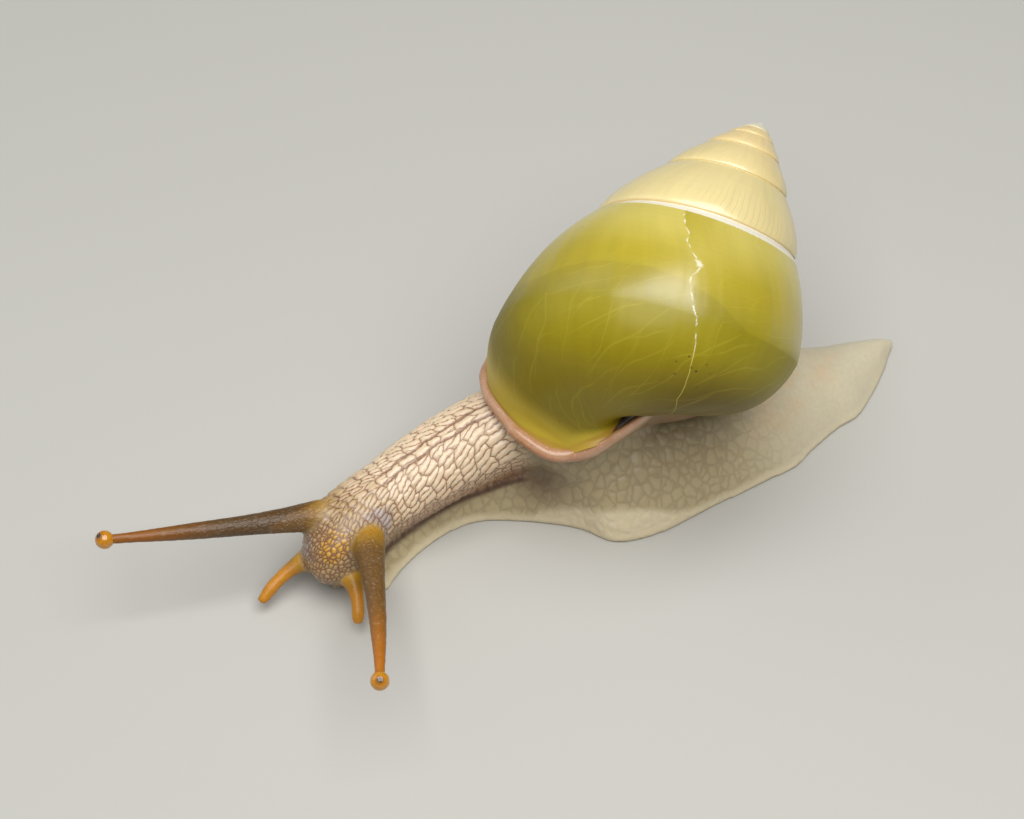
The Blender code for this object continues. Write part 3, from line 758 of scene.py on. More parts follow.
def shell_point(turn, s, lift=0.0):
    """A point of the shell at a whorl position and s, lifted away from the axis by some millimetres."""
    turn, s = np.broadcast_arrays(np.asarray(turn, float), np.asarray(s, float))
    axis, across, toward = shell_axes()
    radius, depth = whorl_profile(turn, s)
    angle = math.radians(START_ANGLE) - TURN * turn
    spoke = np.sin(angle)[..., None] * across + np.cos(angle)[..., None] * toward
    return APEX - depth[..., None] * axis + (radius + lift)[..., None] * spoke


def lip_turns(values):
    """The whorl position at which each line s of the last whorl meets the lip's plane."""
    tries = np.linspace(-0.5, 0.3, 401)
    found = []
    for s in values:
        side = shell_point(tries, s) @ LIP_NORMAL - LIP_PLANE
        k = int(np.argmax(side <= 0))
        found.append(tries[k] if k else 0.0)
    return np.array(found)


def end_turn(s):
    """Where the last whorl ends on line s, joined by a smooth line through the places searched for."""
    known = lip_turns(LIP_S)
    return np.interp(s, [*LIP_S, 2.0], [*known, known[-1] - DIMPLE_BACK])


def turned_edge(points, s, share):
    """Points of the last whorl moved level, away from the middle of the opening, by a share of their row."""
    away = (points - OPENING) * (1, 1, 0)
    away /= np.linalg.norm(away, axis=-1)[..., None]
    return points + (np.interp(s, *np.array(TURNED_OUT).T) * share)[..., None] * away


def shell_relief(turn, growth, s, last, settings):
    """How far the surface stands out: a groove along the suture, a bead beside it, and growth lines.

    The groove is the same on both sides of the suture, where two whorls share their points. Growth lines are
    smooth noise along the growth direction, in three widths, that fade at the sutures.
    """
    radius = whorl_profile(turn, s)[0]
    scale = np.clip(radius / MAIN_RADIUS, 0.05, 1.0)
    groove = np.exp(-((s / GROOVE_WIDTH) ** 2))
    groove = groove + (0 if last else 1) * np.exp(-(((1 - s) / UPPER_GROOVE_WIDTH) ** 2))
    bead = np.exp(-(((s - BEAD_PLACE) / BEAD_WIDTH) ** 2))
    fade = step(0.0, 0.1, s) * (1.0 if last else step(1.0, 0.9, s))
    sway = growth + 0.004 * wander(6 * s + 31 * growth, 5)
    lines = sum(height * wander(sway * pace, seed) for height, pace, seed in GROWTH_SETS)
    rise = settings.growth * lines * fade - settings.groove * groove + 0.45 * settings.groove * bead
    swell = 0 if last else settings.bulge * radius * 4 * s * (1 - s)
    return scale * rise + swell


def scar_offset(share, s):
    """Distance along the growth direction from the mended break, in millimetres, with a ragged line."""
    rows = np.array(SCAR)
    place = np.interp(s, rows[:, 0], rows[:, 1])
    rough = step(1.2, 0.9, s)
    wide = 0.0005 + 0.0018 * rough * step(0.6, 0.3, s)
    ragged = wide * wander(26 * s, 11) + 0.0007 * rough * wander(80 * s, 12)
    return (share - place - ragged) * TURN * MAIN_RADIUS


def side_columns():
    """The s of each column on the side of a whorl, closer together by the sutures."""
    even = np.linspace(0, 1, SIDE_COLUMNS + 1)
    return 0.45 * even + 0.55 * (0.5 - 0.5 * np.cos(math.pi * even))


def early_whorls(first, count, settings):
    """Points and fields of the whorls before the last, one row for each step of their turns."""
    turn = (first - 1 - np.arange(count, 0, -1) / ROWS_PER_TURN)[:, None]
    turn, s = np.broadcast_arrays(turn, side_columns()[None])
    far, none = np.full(turn.shape, FAR), np.full(turn.shape, -1.0)
    fields = {"growth": turn, "across": s, "scar": far, "to_lip": far, "spiral": none, "shared": none}
    return shell_point(turn, s, shell_relief(turn, turn, s, False, settings)), fields


def late_whorl(first, settings):
    """Points and fields of the last whorl, whose mended break stands out as a crumbly ridge."""
    base = np.linspace(1, BASE_END, BASE_COLUMNS + 1)[1:]
    dimple = np.linspace(BASE_END, 2.0, DIMPLE_COLUMNS + 1)[1:]
    every = np.concatenate([side_columns(), base, dimple])
    share = np.linspace(0, 1, ROWS_PER_TURN + 1)[:, None]
    turn = (first - 1) + share * (end_turn(every)[None] - (first - 1))
    share, s = np.broadcast_arrays(share, every[None])
    growth = first - 1 + share
    offset = scar_offset(share, s)
    crumbs = 0.5 + 0.5 * wander(90 * s, 13)
    ridge = SCAR_RISE * crumbs * np.exp(-((offset / SCAR_WIDTH) ** 2))
    lift = shell_relief(turn, growth, s, True, settings) + ridge - SCAR_STEP * step(-0.4, 0.1, offset)
    near_lip = np.clip(1 - (1 - share) / TURNED_REACH, 0, 1) ** 2
    fields = {
        "growth": growth,
        "across": s,
        "scar": offset,
        "to_lip": (1 - share) * TURN * whorl_profile(turn, s)[0],
        "spiral": s - np.interp(share, *np.array(SPIRAL).T),
        "shared": share,
    }
    return turned_edge(shell_point(turn, s, lift), s, near_lip), fields


def grid_numbers(points, start):
    """The numbers of a grid's points, row by row, from a first number."""
    return start + np.arange(points[..., 0].size).reshape(points.shape[:2])


def shell_sheet(settings):
    """Points, faces and fields of the shell: a strip wound from the apex to the lip.

    Rows follow the growth lines and columns run along the whorl. A row's last point on the side of a whorl is
    the first point of the row one turn later, so the strips share it.
    """
    first = float(end_turn(0.0))
    count = int((first - 1 - FIRST_TURN) * ROWS_PER_TURN)
    early_points, early_fields = early_whorls(first, count, settings)
    late_points, late_fields = late_whorl(first, settings)
    late = grid_numbers(late_points, 0)
    early = grid_numbers(early_points, late.size)
    rows = np.vstack([early[:, :1], late[:, :1]])[:, 0]
    early[:, -1] = rows[np.minimum(np.arange(count) + ROWS_PER_TURN, len(rows) - 1)]
    late[0, SIDE_COLUMNS] = rows[-1]
    bridge = np.vstack([early[-1:], late[:1, : SIDE_COLUMNS + 1]])
    faces = np.vstack([grid_faces(early), grid_faces(bridge), grid_faces(late)]).tolist()
    points = np.vstack([late_points.reshape(-1, 3), early_points.reshape(-1, 3)])
    fields = {key: np.append(late_fields[key], early_fields[key]) for key in late_fields}
    tip_edge = np.concatenate([rows[: ROWS_PER_TURN + 1], early[0, ::-1][1:]])
    points, fields = close_tip(points, faces, fields, tip_edge)
    close_opening(faces, late)
    return points, faces, fields


def close_tip(points, faces, fields, edge):
    """A low dome over the first turn: rings that shrink toward the tip and rise by one less a square."""
    tip = APEX + TIP_RISE * shell_axes()[0]
    ring, numbers = points[edge], edge
    for share in (0.8, 0.6, 0.4, 0.2):
        rim = tip + (ring - tip) * share
        rim = rim + shell_axes()[0] * TIP_BULGE * (share - share**2)
        inner = len(points) + np.arange(len(edge))
        points = np.vstack([points, rim])
        faces += grid_faces(np.vstack([numbers, inner])).tolist()
        numbers = inner
    last = len(points)
    points = np.vstack([points, tip])
    faces += [(last, int(b), int(a)) for a, b in zip(numbers, numbers[1:])]
    added = len(points) - len(fields["growth"])
    same = {key: np.full(added, values[edge[0]]) for key, values in fields.items()}
    return points, {key: np.concatenate([values, same[key]]) for key, values in fields.items()}


def close_opening(faces, late):
    """Triangles from the lip to the wall that the last whorl grew from, hidden by the body."""
    wall = list(late[0, SIDE_COLUMNS:]) + list(late[1:, -1])
    lip = list(late[-1, :])
    wall_at, lip_at = np.linspace(0, 1, len(wall)), np.linspace(0, 1, len(lip))
    i = j = 0
    while i < len(wall) - 1 or j < len(lip) - 1:
        if j == len(lip) - 1 or (i < len(wall) - 1 and wall_at[i + 1] <= lip_at[j + 1]):
            faces.append((int(wall[i + 1]), int(wall[i]), int(lip[j])))
            i += 1
        else:
            faces.append((int(lip[j + 1]), int(wall[i]), int(lip[j])))
            j += 1


def vein_lines(look, along, across, seed):
    """Fine lines that climb away from the lip: three sets of bent parallels that fade, return and cross."""
    found = None
    for turned, spacing in VEIN_SETS:
        seed += 7.0
        cosine, sine = math.cos(VEIN_SLANT + turned), math.sin(VEIN_SLANT + turned)
        p, q = along * cosine + across * sine, across * cosine - along * sine
        bend = look.noise(look.vector(p * 0.10, q * 0.12, seed), 1.0, 2.0) - 0.5
        line = look.ramp((q * (1 / spacing) + 1.7 * bend).from_line(), 0.15 / spacing, 0.0)
        line = line * look.ramp(look.noise(look.vector(p * 0.12, q * 0.22, seed + 3.0), 1.0, 1.0), 0.42, 0.60)
        found = line if found is None else found.most(line)
    return found


def last_whorl(look, settings, patch):
    """Last whorl: pale yellow at the suture to olive at the base; brown, part own colour and part painted
    shade, under the base and before the lip.
    """
    s, shared, scar = look.field("across"), look.field("shared"), look.field("scar")
    at = s + 0.22 * (patch - 0.5)
    # Brown under the base: partly the shell's own brown, partly painted shade where the base gets little
    # light
    under = look.ramp(s, 1.1, 1.36) * look.ramp(shared, 0.70, 0.54)
    # Brown on the side before the lip: partly the shell's own brown, partly painted shade where the whorl
    # turns away from the key light
    rim = look.ramp(shared + 0.1 * (patch - 0.5), 0.76, 0.92)
    rim = rim * look.ramp(s, 0.3, 0.9) * look.ramp(s, 1.40, 1.15)
    warm = look.ramp(scar, -9.0, -0.3) * look.ramp(scar, 0.2, -0.2) * look.ramp(s, 0.5, 0.12)
    shade = look.layers(
        settings.shoulder,
        (settings.yellow, look.ramp(at, 0.12, 0.52)),
        (settings.body, look.ramp(at, 0.45, 1.0)),
        (settings.base, look.ramp(at, 1.0, 1.4)),
        (settings.brown, 0.85 * under),
        (settings.brown, 0.6 * rim),
        (settings.yellow, 0.75 * warm),
    )
    below = look.ramp(look.field("spiral"), -0.008, 0.02) * look.ramp(look.field("spiral"), 0.5, 0.1)
    return look.shade(shade, 1.0 - 0.10 * below)


def specks(look, spot, crumb):
    """Brown specks: few over the whorl and a cluster by the foot of the mended break."""
    far = look.field("scar") * (1 / 3.0)
    down = (look.field("across") - 1.23) * (1 / 0.07)
    near = look.ramp(far * far + down * down, 1.4, 0.8)
    some = look.ramp(look.cells(spot, 0.40), 0.045, 0.025) * look.ramp(crumb, 0.50, 0.55)
    return some.most(look.ramp(look.cells(spot, 1.1), 0.20, 0.12) * near * look.ramp(crumb, 0.47, 0.53))


def spire_colours(look, settings, cloud):
    """Colours of the upper whorls: peach cream to cream, grey hairlines and a peach line above the suture."""
    growth, s = look.field("growth"), look.field("across")
    lower = look.ramp(growth, -1.9, -1.6)
    shade = look.mix(settings.early, settings.spire, look.ramp(growth, -3.0, -1.9))
    shade = look.mix(settings.tip, shade, look.ramp(growth + 0.6 * (cloud - 0.5), -5.2, -4.4))
    bend = look.noise(look.vector(growth * 14.0, s * 2.5), 1.0, 2.0)
    hair = look.ramp((growth * 90.0 + 1.1 * bend).from_line(), 0.09, 0.02) * lower
    hair = hair * look.ramp(s, 0.97, 0.85) * look.ramp(s + 0.5 * (cloud - 0.5), 0.25, 0.55)
    line = look.ramp(s + 0.02 * (cloud - 0.5), 0.955, 0.985)
    return look.layers(
        shade,
        (settings.hair, 0.30 * hair * look.ramp(growth, -1.30, -1.38)),
        (settings.peach, line * (0.25 + 0.5 * lower)),
    )


def mended_break(look, spot, crumb):
    """The mended break, crumbly and broken above and thin and smooth below, and a mask of the smooth part."""
    s, scar = look.field("across"), look.field("scar")
    smooth = look.ramp(s, 1.05, 1.2)
    rough = 1.0 - smooth
    width = 0.07 * rough + 0.04 * smooth
    line = look.ramp(scar.size() - width + 0.5 * (crumb - 0.5) * rough, 0.05, -0.02)
    line = line * (smooth + rough * look.ramp(look.noise(spot, 1.6, 2.0), 0.40, 0.60))
    spur = look.ramp(scar.size() + 1.2 * (crumb - 0.5), 0.5, 0.2) * look.ramp((s - 0.46).size(), 0.035, 0.01)
    return line.most(0.9 * spur), smooth


def growth_lines(look, spot):
    """Height of the shell's fine relief: hair-thin growth lines, wider ridges and slow waves."""
    growth, s = look.field("growth"), look.field("across")
    fine = look.noise(look.vector(growth * 330.0, s * 2.5), 1.0, 3.0, 0.6)
    ridge = look.noise(look.vector(growth * 90.0, s * 1.2), 1.0, 2.0)
    return fine + 1.6 * ridge + 0.4 * look.noise(spot, 1.1, 3.0)


def shell_look(settings):
    """Glossy shell: a yellow to olive last whorl with pale veins, a cream spire and a white suture band."""
    look = Look("shell_glaze")
    growth, s = look.field("growth"), look.field("across")
    shared, to_lip = look.field("shared"), look.field("to_lip")
    spot = look.place()
    patch = look.noise(spot, 0.13, 2.0)
    cloud = look.noise(spot, 0.6, 4.0)
    last = look.ramp(shared, 0.0, 0.24)
    body = last_whorl(look, settings, patch)
    body = look.mix(spire_colours(look, settings, cloud), body, last)

    streak = look.noise(look.vector(growth * 60.0, s * 1.5), 1.0, 5.0, 0.6)
    spiral = look.noise(look.vector(growth * 2.0, s * 60.0), 1.0, 3.0)
    vein = vein_lines(look, growth * TURN * MAIN_RADIUS, s * 20.0, 1.0)
    near = 0.5 * to_lip + 0.5 * TURN * MAIN_RADIUS * (1.0 - shared)
    ochre = look.ramp(near + 1.2 * (patch - 0.5), 9.0, 2.8) * last
    crumb = look.noise(spot, 7.0, 4.0, 0.7)
    line, smooth = mended_break(look, spot, crumb)
    fleck = look.noise(spot, 3.2, 3.0, 0.7)
    reach = look.ramp(shared, 1.05, 0.42) * 0.045 + 0.020 + 0.016 * (fleck - 0.5)
    body = look.layers(
        look.shade(body, 0.86 + 0.20 * streak + 0.08 * spiral),
        (settings.vein, 0.14 * vein * last * look.ramp(s, 0.25, 0.7)),
        (settings.ochre, 0.78 * ochre),
        (settings.rim, 0.6 * look.ramp(to_lip, 1.1, 0.5) * last),
        (look.mix(settings.band, settings.shoulder, smooth), 0.78 * line),
        (settings.band, look.ramp(s - reach, 0.007, -0.003) * last),
        (settings.speck, specks(look, spot, crumb)),
    )

    matt = 1.0 - 0.85 * look.ramp(s, 0.72, 1.05).most(look.ramp(shared, 0.78, 0.90)) * last
    look.set(
        Base_Color=body,
        Roughness=0.36 + 0.14 * streak + 0.3 * line,
        Normal=look.bump(growth_lines(look, spot) * (1.0 - 0.8 * ochre), 0.03, 0.6),
        Coat_Weight=settings.gloss * (1.0 - 0.6 * line) * matt,
        Coat_Roughness=0.27,
        Coat_IOR=1.8,
        Subsurface_Weight=0.10,
        Subsurface_Radius=(1.0, 0.75, 0.35),
        Subsurface_Scale=0.0010,
        Specular_IOR_Level=0.10,
    )
    return look


# Lip


def lip_rows():
    """Rows along the lip: a point of its plane, the columella wall's height and the size of the edge."""
    kept = LIP_S[LIP_S <= LIP_LAST]
    outer = turned_edge(shell_point(lip_turns(kept), kept), kept, 1)
    rows = [(*point, 0.0, 1.0) for point in outer]
    for x, y, rise, share in COLUMELLA:
        z = (LIP_PLANE - LIP_NORMAL[0] * x - LIP_NORMAL[1] * y) / LIP_NORMAL[2]
        rows.append((x, y, z, rise, share))
    return smooth_path(rows, LIP_ROWS)


def lip_sheet():
    """An oval section carried along the lip; along the columella it grows into a leaning wall."""
    rows = lip_rows()
    path, rise, share = rows[:, :3], np.clip(rows[:, 3], 0, None)[:, None], rows[:, 4]
    along = unit(np.gradient(path, axis=0))
    up = unit(LIP_NORMAL)
    out = np.cross(along, up)
    if ((path - OPENING) * out).sum() < 0:
        out = -out
    run = np.linspace(0, 1, len(path))
    share = (share * np.clip(run / LIP_START, 0.25, 1) ** 0.5)[:, None]
    uneven = 1 + LIP_UNEVEN * wander(run * 40, 21)[:, None]
    low = path + out * 0.5 * (LIP_FLARE - LIP_INSIDE) - up * LIP_HEIGHT * share
    high = low + up * (LIP_HEIGHT * share + LIP_ABOVE + rise) + out * COLUMELLA_LEAN * rise
    half, middle = 0.5 * (low - high), 0.5 * (low + high)
    width = 0.5 * (LIP_FLARE + LIP_INSIDE) * share * uneven
    angles = circle(LIP_POINTS)
    cosine, sine = np.cos(angles)[None, :, None], np.sin(angles)[None, :, None]
    rings = middle[:, None] + out[:, None] * width[:, None] * cosine + half[:, None] * sine
    points, faces = loft(rings)
    place = np.concatenate([np.repeat(run, LIP_POINTS), [0.0, 1.0]])
    turned = np.concatenate([np.tile(np.cos(angles), len(path)), [0.0, 0.0]])
    upward = np.concatenate([np.tile(-np.sin(angles), len(path)), [0.0, 0.0]])
    return points, faces, {"run": place, "outside": turned, "upward": upward}


def lip_look(settings):
    """Pinkish lip with a fine grain and a wet shine, orange brown outside and brown along the columella."""
    look = Look("lip_glaze")
    run, outside, upward = look.field("run"), look.field("outside"), look.field("upward")
    spot = look.place()
    grain = look.noise(spot, 5.0, 5.0, 0.7)
    cloud = look.noise(spot, 0.7, 3.0)
    below = look.ramp(outside - 0.8 * upward + 0.8 * (cloud - 0.5), 0.5, 1.1)
    wall = look.ramp(run, 0.79, 0.84)
    shade = look.layers(
        settings.lip,
        (settings.edge, look.ramp(cloud, 0.35, 0.7) * 0.35),
        (settings.grain, look.ramp(grain, 0.52, 0.72) * 0.5),
        (settings.edge, below * 0.75),
        (settings.columella, 0.85 * wall * look.ramp(upward.size(), 1.0, 0.75)),
        (settings.callus, 0.7 * wall * look.ramp(upward, 0.86, 0.97)),
    )
    lines = look.noise(look.vector(run * 220.0, outside * 1.2), 1.0, 3.0)
    look.set(
        Base_Color=shade,
        Roughness=0.24 + 0.2 * grain,
        Normal=look.bump(0.6 * grain + 0.6 * lines, 0.04, 0.6),
        Coat_Weight=0.7,
        Coat_Roughness=0.12,
        Subsurface_Weight=0.15,
        Subsurface_Radius=(1.0, 0.6, 0.4),
        Subsurface_Scale=0.001,
    )
    return look


# Skin


def foot_rings(count, top_points, sole_points):
    """Rings of the foot: an arch of power curves over each pair of margins, closed along the sole."""
    rows = smooth_path(FOOT, count)
    left, right, height = rows[:, 0:2], rows[:, 2:4], rows[:, 4]
    half, centre = 0.5 * (left - right), 0.5 * (left + right)
    v = np.linspace(-1, 1, top_points)
    v = np.sign(v) * (1 - (1 - np.abs(v)) ** MARGIN_BUNCH)
    z = height[:, None] * (1 - np.abs(v) ** ARCH[0]) ** ARCH[1] + MARGIN_HEIGHT
    top = np.concatenate([centre[:, None] + half[:, None] * v[None, :, None], z[..., None]], -1)
    w = np.linspace(0.97, -0.97, sole_points)
    sole = centre[:, None] + half[:, None] * w[None, :, None]
    sole = np.concatenate([sole, np.zeros(sole.shape[:2] + (1,))], -1)
    return np.concatenate([top, sole], 1)


def tube_frame(rows):
    """The path of a tube, with the directions across and up at each row."""
    path = rows[:, :3]
    along = unit(np.gradient(path, axis=0))
    side = unit(np.cross(along, (0.0, 0.0, 1.0)))
    return path, side, np.cross(side, along)


def tube_rings(rows, around):
    """Ovals square to a path, with the radii across and up in the last two columns."""
    path, side, top = tube_frame(rows)
    angles = circle(around)
    wide = side[:, None] * (rows[:, 3, None] * np.cos(angles))[..., None]
    tall = top[:, None] * (rows[:, 4, None] * np.sin(angles))[..., None]
    return path[:, None] + wide + tall


def column_rings(count, around):
    rows = smooth_path(COLUMN, count)
    turn = np.radians(rows[:, 5])[:, None]
    angles = circle(around)[None]
    u, v = rows[:, 3, None] * np.cos(angles), rows[:, 4, None] * np.sin(angles)
    x = rows[:, 1, None] + u * np.cos(turn) - v * np.sin(turn)
    y = rows[:, 2, None] + u * np.sin(turn) + v * np.cos(turn)
    return np.stack([x, y, np.broadcast_to(rows[:, 0, None], x.shape)], -1)


def tentacle_rows(spec, radii, count):
    """A line from start to end that bows by the sag at its middle, with the radius along it."""
    start, end, sag = (np.array(v, float) for v in spec)
    t = np.linspace(0, 1, count)[:, None]
    path = start + (end - start) * t + sag * 4 * t * (1 - t)
    radius = smooth_path(np.array(radii)[:, None], count)
    return np.hstack([path, radius, radius])


def skin_lofts():
    """The bodies that the skin is drawn round."""
    return [
        foot_rings(160, 61, 21),
        tube_rings(smooth_path(NECK, 120), 72),
        column_rings(40, 72),
        tube_rings(tentacle_rows(LEFT_STALK, STALK_RADII, 90), 36),
        tube_rings(tentacle_rows(RIGHT_STALK, STALK_RADII, 90), 36),
        tube_rings(tentacle_rows(LEFT_FEELER, FEELER_RADII, 40), 32),
        tube_rings(tentacle_rows(RIGHT_FEELER, FEELER_RADII, 40), 32),
        lobe_rings(-LOBE_APART),
        lobe_rings(LOBE_APART),
    ]


def lobe_rings(offset, rows=20, around=24):
    """An egg beside the mouth, as level rings from its lowest to its highest."""
    centre = np.array(MOUTH) + offset * np.array(MOUTH_SIDE)
    polar = np.linspace(0, math.pi, rows + 1)[1:-1, None]
    turn = circle(around)[None]
    rings = (np.sin(polar) * np.cos(turn), np.sin(polar) * np.sin(turn), -np.cos(polar))
    return centre + np.stack(np.broadcast_arrays(*rings), -1) * LOBE_RADII


def wrapped(lofts, voxel):
    """One closed mesh round all the lofts, in cells of a given size: its points and its quads."""
    points, faces, start = [], [], 0
    for rings in lofts:
        some, quads = loft(rings)
        points.append(some)
        faces += [tuple(v + start for v in face) for face in quads]
        start += len(some)
    data = bpy.data.meshes.new("skin_lofts")
    data.from_pydata(np.vstack(points).tolist(), [], faces)
    piece = bpy.data.objects.new("skin_lofts", data)
    bpy.context.scene.collection.objects.link(piece)
    wrap = piece.modifiers.new("wrap", "REMESH")
    wrap.mode = "VOXEL"
    wrap.voxel_size = voxel
    made = modified_mesh(piece)
    spots = np.zeros(len(made.vertices) * 3)
    made.vertices.foreach_get("co", spots)
    corners = np.zeros(len(made.loops), int)
    made.loops.foreach_get("vertex_index", corners)
    bpy.data.objects.remove(piece, do_unlink=True)
    bpy.data.meshes.remove(made)
    return spots.reshape(-1, 3), corners.reshape(-1, 4)


def edges_of(quads):
    """Each side of the quads once, as pairs of point numbers."""
    sides = np.concatenate([quads[:, [k, (k + 1) % 4]] for k in range(4)])
    return np.unique(np.sort(sides, axis=1), axis=0)


def spread(values, edges, count):
    """The mean of each point's neighbours."""
    ends = np.concatenate([edges, edges[:, ::-1]])
    degree = np.bincount(ends[:, 0], minlength=count)
    columns = np.atleast_2d(values.T)
    sums = [np.bincount(ends[:, 0], weights=column[ends[:, 1]], minlength=count) for column in columns]
    return (np.array(sums) / np.maximum(degree, 1)).T.reshape(values.shape)


def normals_of(points, quads):
    """Point normals: the cross product of each quad's diagonals, summed at its corners."""
    a, b, c, d = (points[quads[:, k]] for k in range(4))
    flat = np.cross(c - a, d - b)
    total = np.zeros_like(points)
    for axis in range(3):
        for k in range(4):
            total[:, axis] += np.bincount(quads[:, k], weights=flat[:, axis], minlength=len(points))
    return unit(total)


def soften(points, quads, edges):
    """Evens out the wrap's cells, then rounds the hollows where two bodies meet.

    A hollow is where a point's neighbours lie outward of it. That measure is spread over the points nearby
    and is the share by which each point moves to the middle of its neighbours in the later passes.
    """
    count = len(points)
    for _ in range(EVEN_PASSES):
        points = points + 0.5 * (spread(points, edges, count) - points)
    hollow = ((spread(points, edges, count) - points) * normals_of(points, quads)).sum(1)
    mask = np.clip((hollow - HOLLOW_START) / HOLLOW_RANGE, 0, 1)
    for _ in range(GROW_PASSES):
        mask = np.maximum(mask, 0.92 * spread(mask, edges, count))
    for _ in range(BLUR_PASSES):
        mask = spread(mask, edges, count)
    mask = np.clip(1.3 * mask, 0, 1)[:, None]
    for _ in range(ROUND_PASSES):
        points = points + 0.6 * mask * (spread(points, edges, count) - points)
    return points


def nearest_on(rows, points):
    """For each point the nearest row of a tube: arc length there, share of it, angle and radius share."""
    path, side, top = tube_frame(rows)
    arc = np.concatenate([[0], np.cumsum(np.linalg.norm(np.diff(path, axis=0), axis=1))])
    best = np.full(len(points), 1e9)
    where = np.zeros(len(points), int)
    for k, centre in enumerate(path):
        gap = ((points - centre) ** 2).sum(1)
        nearer = gap < best
        best[nearer] = gap[nearer]
        where[nearer] = k
    off = points - path[where]
    x, y = (off * side[where]).sum(1), (off * top[where]).sum(1)
    ahead = (off * np.cross(top[where], side[where])).sum(1)
    beyond = np.clip(np.abs(ahead) - 0.5, 0, None) / rows[where, 4]
    reach = np.sqrt((x / rows[where, 3]) ** 2 + (y / rows[where, 4]) ** 2 + beyond**2)
    return arc[where] + ahead, arc[where] / arc[-1], np.arctan2(y, x), reach


def tentacle_zone(points, pair, radii, count, reach):
    """How much each point belongs to a pair of tentacles and its share of their length."""
    most, at = np.zeros(len(points)), np.zeros(len(points))
    for spec in pair:
        _, share, _, near = nearest_on(tentacle_rows(spec, radii, count), points)
        mine = (1 - step(*STEM_REACH, near)) * step(*STEM_ROOT, reach)
        at = np.where(mine > most, share, at)
        most = np.maximum(most, mine)
    return most, at


def skin_zones(points):
    """Where each point lies: coordinates on the neck and foot, how much it belongs to each part, and where
    shade and light are painted.
    """
    neck = smooth_path(NECK, 150)
    arc, _, angle, reach = nearest_on(neck, points)
    height = points[:, 2]
    near_mouth = step(*MOUTH_REACH, np.linalg.norm(points - np.array(MOUTH), axis=1))
    own = (1 - step(*NECK_REACH, reach)) * step(*NECK_RISE, height)
    zones = {"arc": arc, "angle": angle, "neck": np.maximum(own * step(*NECK_START, arc), near_mouth)}
    # Painted shade where the neck meets the foot, and under the lip where its shadow falls
    zones["fold"] = 4 * own * (1 - own) * (1 - near_mouth) * step(*CREASE_SHADE_START, arc) * (height < CREASE_SHADE_TOP)
    away = np.linalg.norm((points - OPENING)[:, :2], axis=1)
    hollow = np.linalg.norm(points - np.array(LIP_SHADE_CENTRE), axis=1)
    zones["fold"] = np.maximum(zones["fold"], 0.9 * np.exp(-((hollow / LIP_SHADE_REACH) ** 2)))
    # Painted shade: skin high up in the shell's opening
    zones["inside"] = step(*OPENING_SHADE_RISE, height) * step(*OPENING_SHADE_REACH, away)
    # Painted light: a wider pale margin along the middle of the foot's left side
    zones["middle"] = np.exp(-(((points[:, 1] - MARGIN_LIGHT_PLACE) / MARGIN_LIGHT_REACH) ** 2)) * (points[:, 0] > 0)
    stalk, stalk_at = tentacle_zone(points, (LEFT_STALK, RIGHT_STALK), STALK_RADII, 60, reach)
    feeler, feeler_at = tentacle_zone(points, (LEFT_FEELER, RIGHT_FEELER), FEELER_RADII, 40, reach)
    zones.update(stalk=stalk, stalk_at=stalk_at, feeler=feeler, feeler_at=feeler_at)
    # Painted shade: marks the right stalk, which is darkened
    zones["right"] = (points[:, 0] < SHADED_STALK_SIDE).astype(float)
    zones["fold"] = zones["fold"] * np.clip(1 - stalk - feeler, 0, 1)
    return zones


def mouth_crease(points):
    """1 along the slit between the two lobes of the mouth, which falls off to 0 beside it and above it; it
    sinks the slit and paints shade in it.
    """
    off = points - np.array(MOUTH)
    side = off @ np.array(MOUTH_SIDE)
    away = np.linalg.norm(off, axis=1)
    return np.exp(-((side / 0.2) ** 2)) * step(1.7, 1.1, away) * step(0.2, -0.3, off[:, 2])


def skin_sheet(settings):
    """Points, quads and fields of the whole skin before its pads are raised."""
    points, quads = wrapped(skin_lofts(), settings.voxel)
    edges = edges_of(quads)
    points = soften(points, quads, edges)
    zones = skin_zones(points)
    slit_and_shade = mouth_crease(points)
    points = points - normals_of(points, quads) * (CREASE_DEPTH * slit_and_shade)[:, None]
    points[:, 2] = np.maximum(points[:, 2], 0.0)
    around = zones["angle"] - 0.5 * math.pi
    around = np.mod(around + math.pi, TURN) - math.pi
    stalk, feeler = zones["stalk"], zones["feeler"]
    bare = np.clip(1 - stalk - feeler, 0, 1)
    along, lean, width = pad_flow(zones["arc"])
    fields = {
        "arc": zones["arc"],
        "pad_along": along,
        "pad_lean": lean,
        "pad_width": width,
        "around": around * NECK_WIDTH,
        "neck": zones["neck"] * bare,
        "foot": np.clip(1 - zones["neck"] - stalk - feeler, 0, 1),
        "stalk": stalk,
        "stalk_at": zones["stalk_at"],
        "feeler": feeler,
        "feeler_at": zones["feeler_at"],
        "tail": step(*TAIL_START, points[:, 1]),
        "low": points[:, 2],
        "slit_and_shade": slit_and_shade,
        **{key: zones[key] for key in ("fold", "inside", "middle", "right")},
    }
    return points, quads.tolist(), fields


def pad_flow(arc):
    """For each place along the neck: pads passed, the widths that their lean has shifted, their width.

    The first two are running sums of one over the length and of the lean over the width.
    """
    rows = np.array(PAD_ROWS)
    fine = np.linspace(rows[0, 0], rows[-1, 0], 801)
    length, width, lean = (np.interp(fine, rows[:, 0], rows[:, k]) for k in (1, 2, 3))
    pace = fine[1] - fine[0]
    passed = np.concatenate([[0], np.cumsum(pace / length[1:])])
    shifted = np.concatenate([[0], np.cumsum(pace * (lean / width)[1:])])
    return [np.interp(arc, fine, values) for values in (passed, shifted, width)]


def pad_edge(look, along, across, ratio, chance):
    """Distance from a pad's side, in pad widths.

    A pad is longer than wide by the ratio, so the distance from its ends is stretched by that much: the share
    of the way from the pad's middle that runs lengthwise, squared, tells an end from a side.
    """
    at = look.vector(along, across)
    middle = look.cells(at, 1.0, "F1", 2, chance, True)
    a, b = (look.node("ShaderNodeSeparateXYZ", None, {0: middle}, out=k) for k in (0, 1))
    a, b = along - a, across - b
    end = a * a / (a * a + b * b + 0.001)
    return look.cell_edge(at, 1.0, chance, True) * (1.0 + (ratio - 1.0) * end)


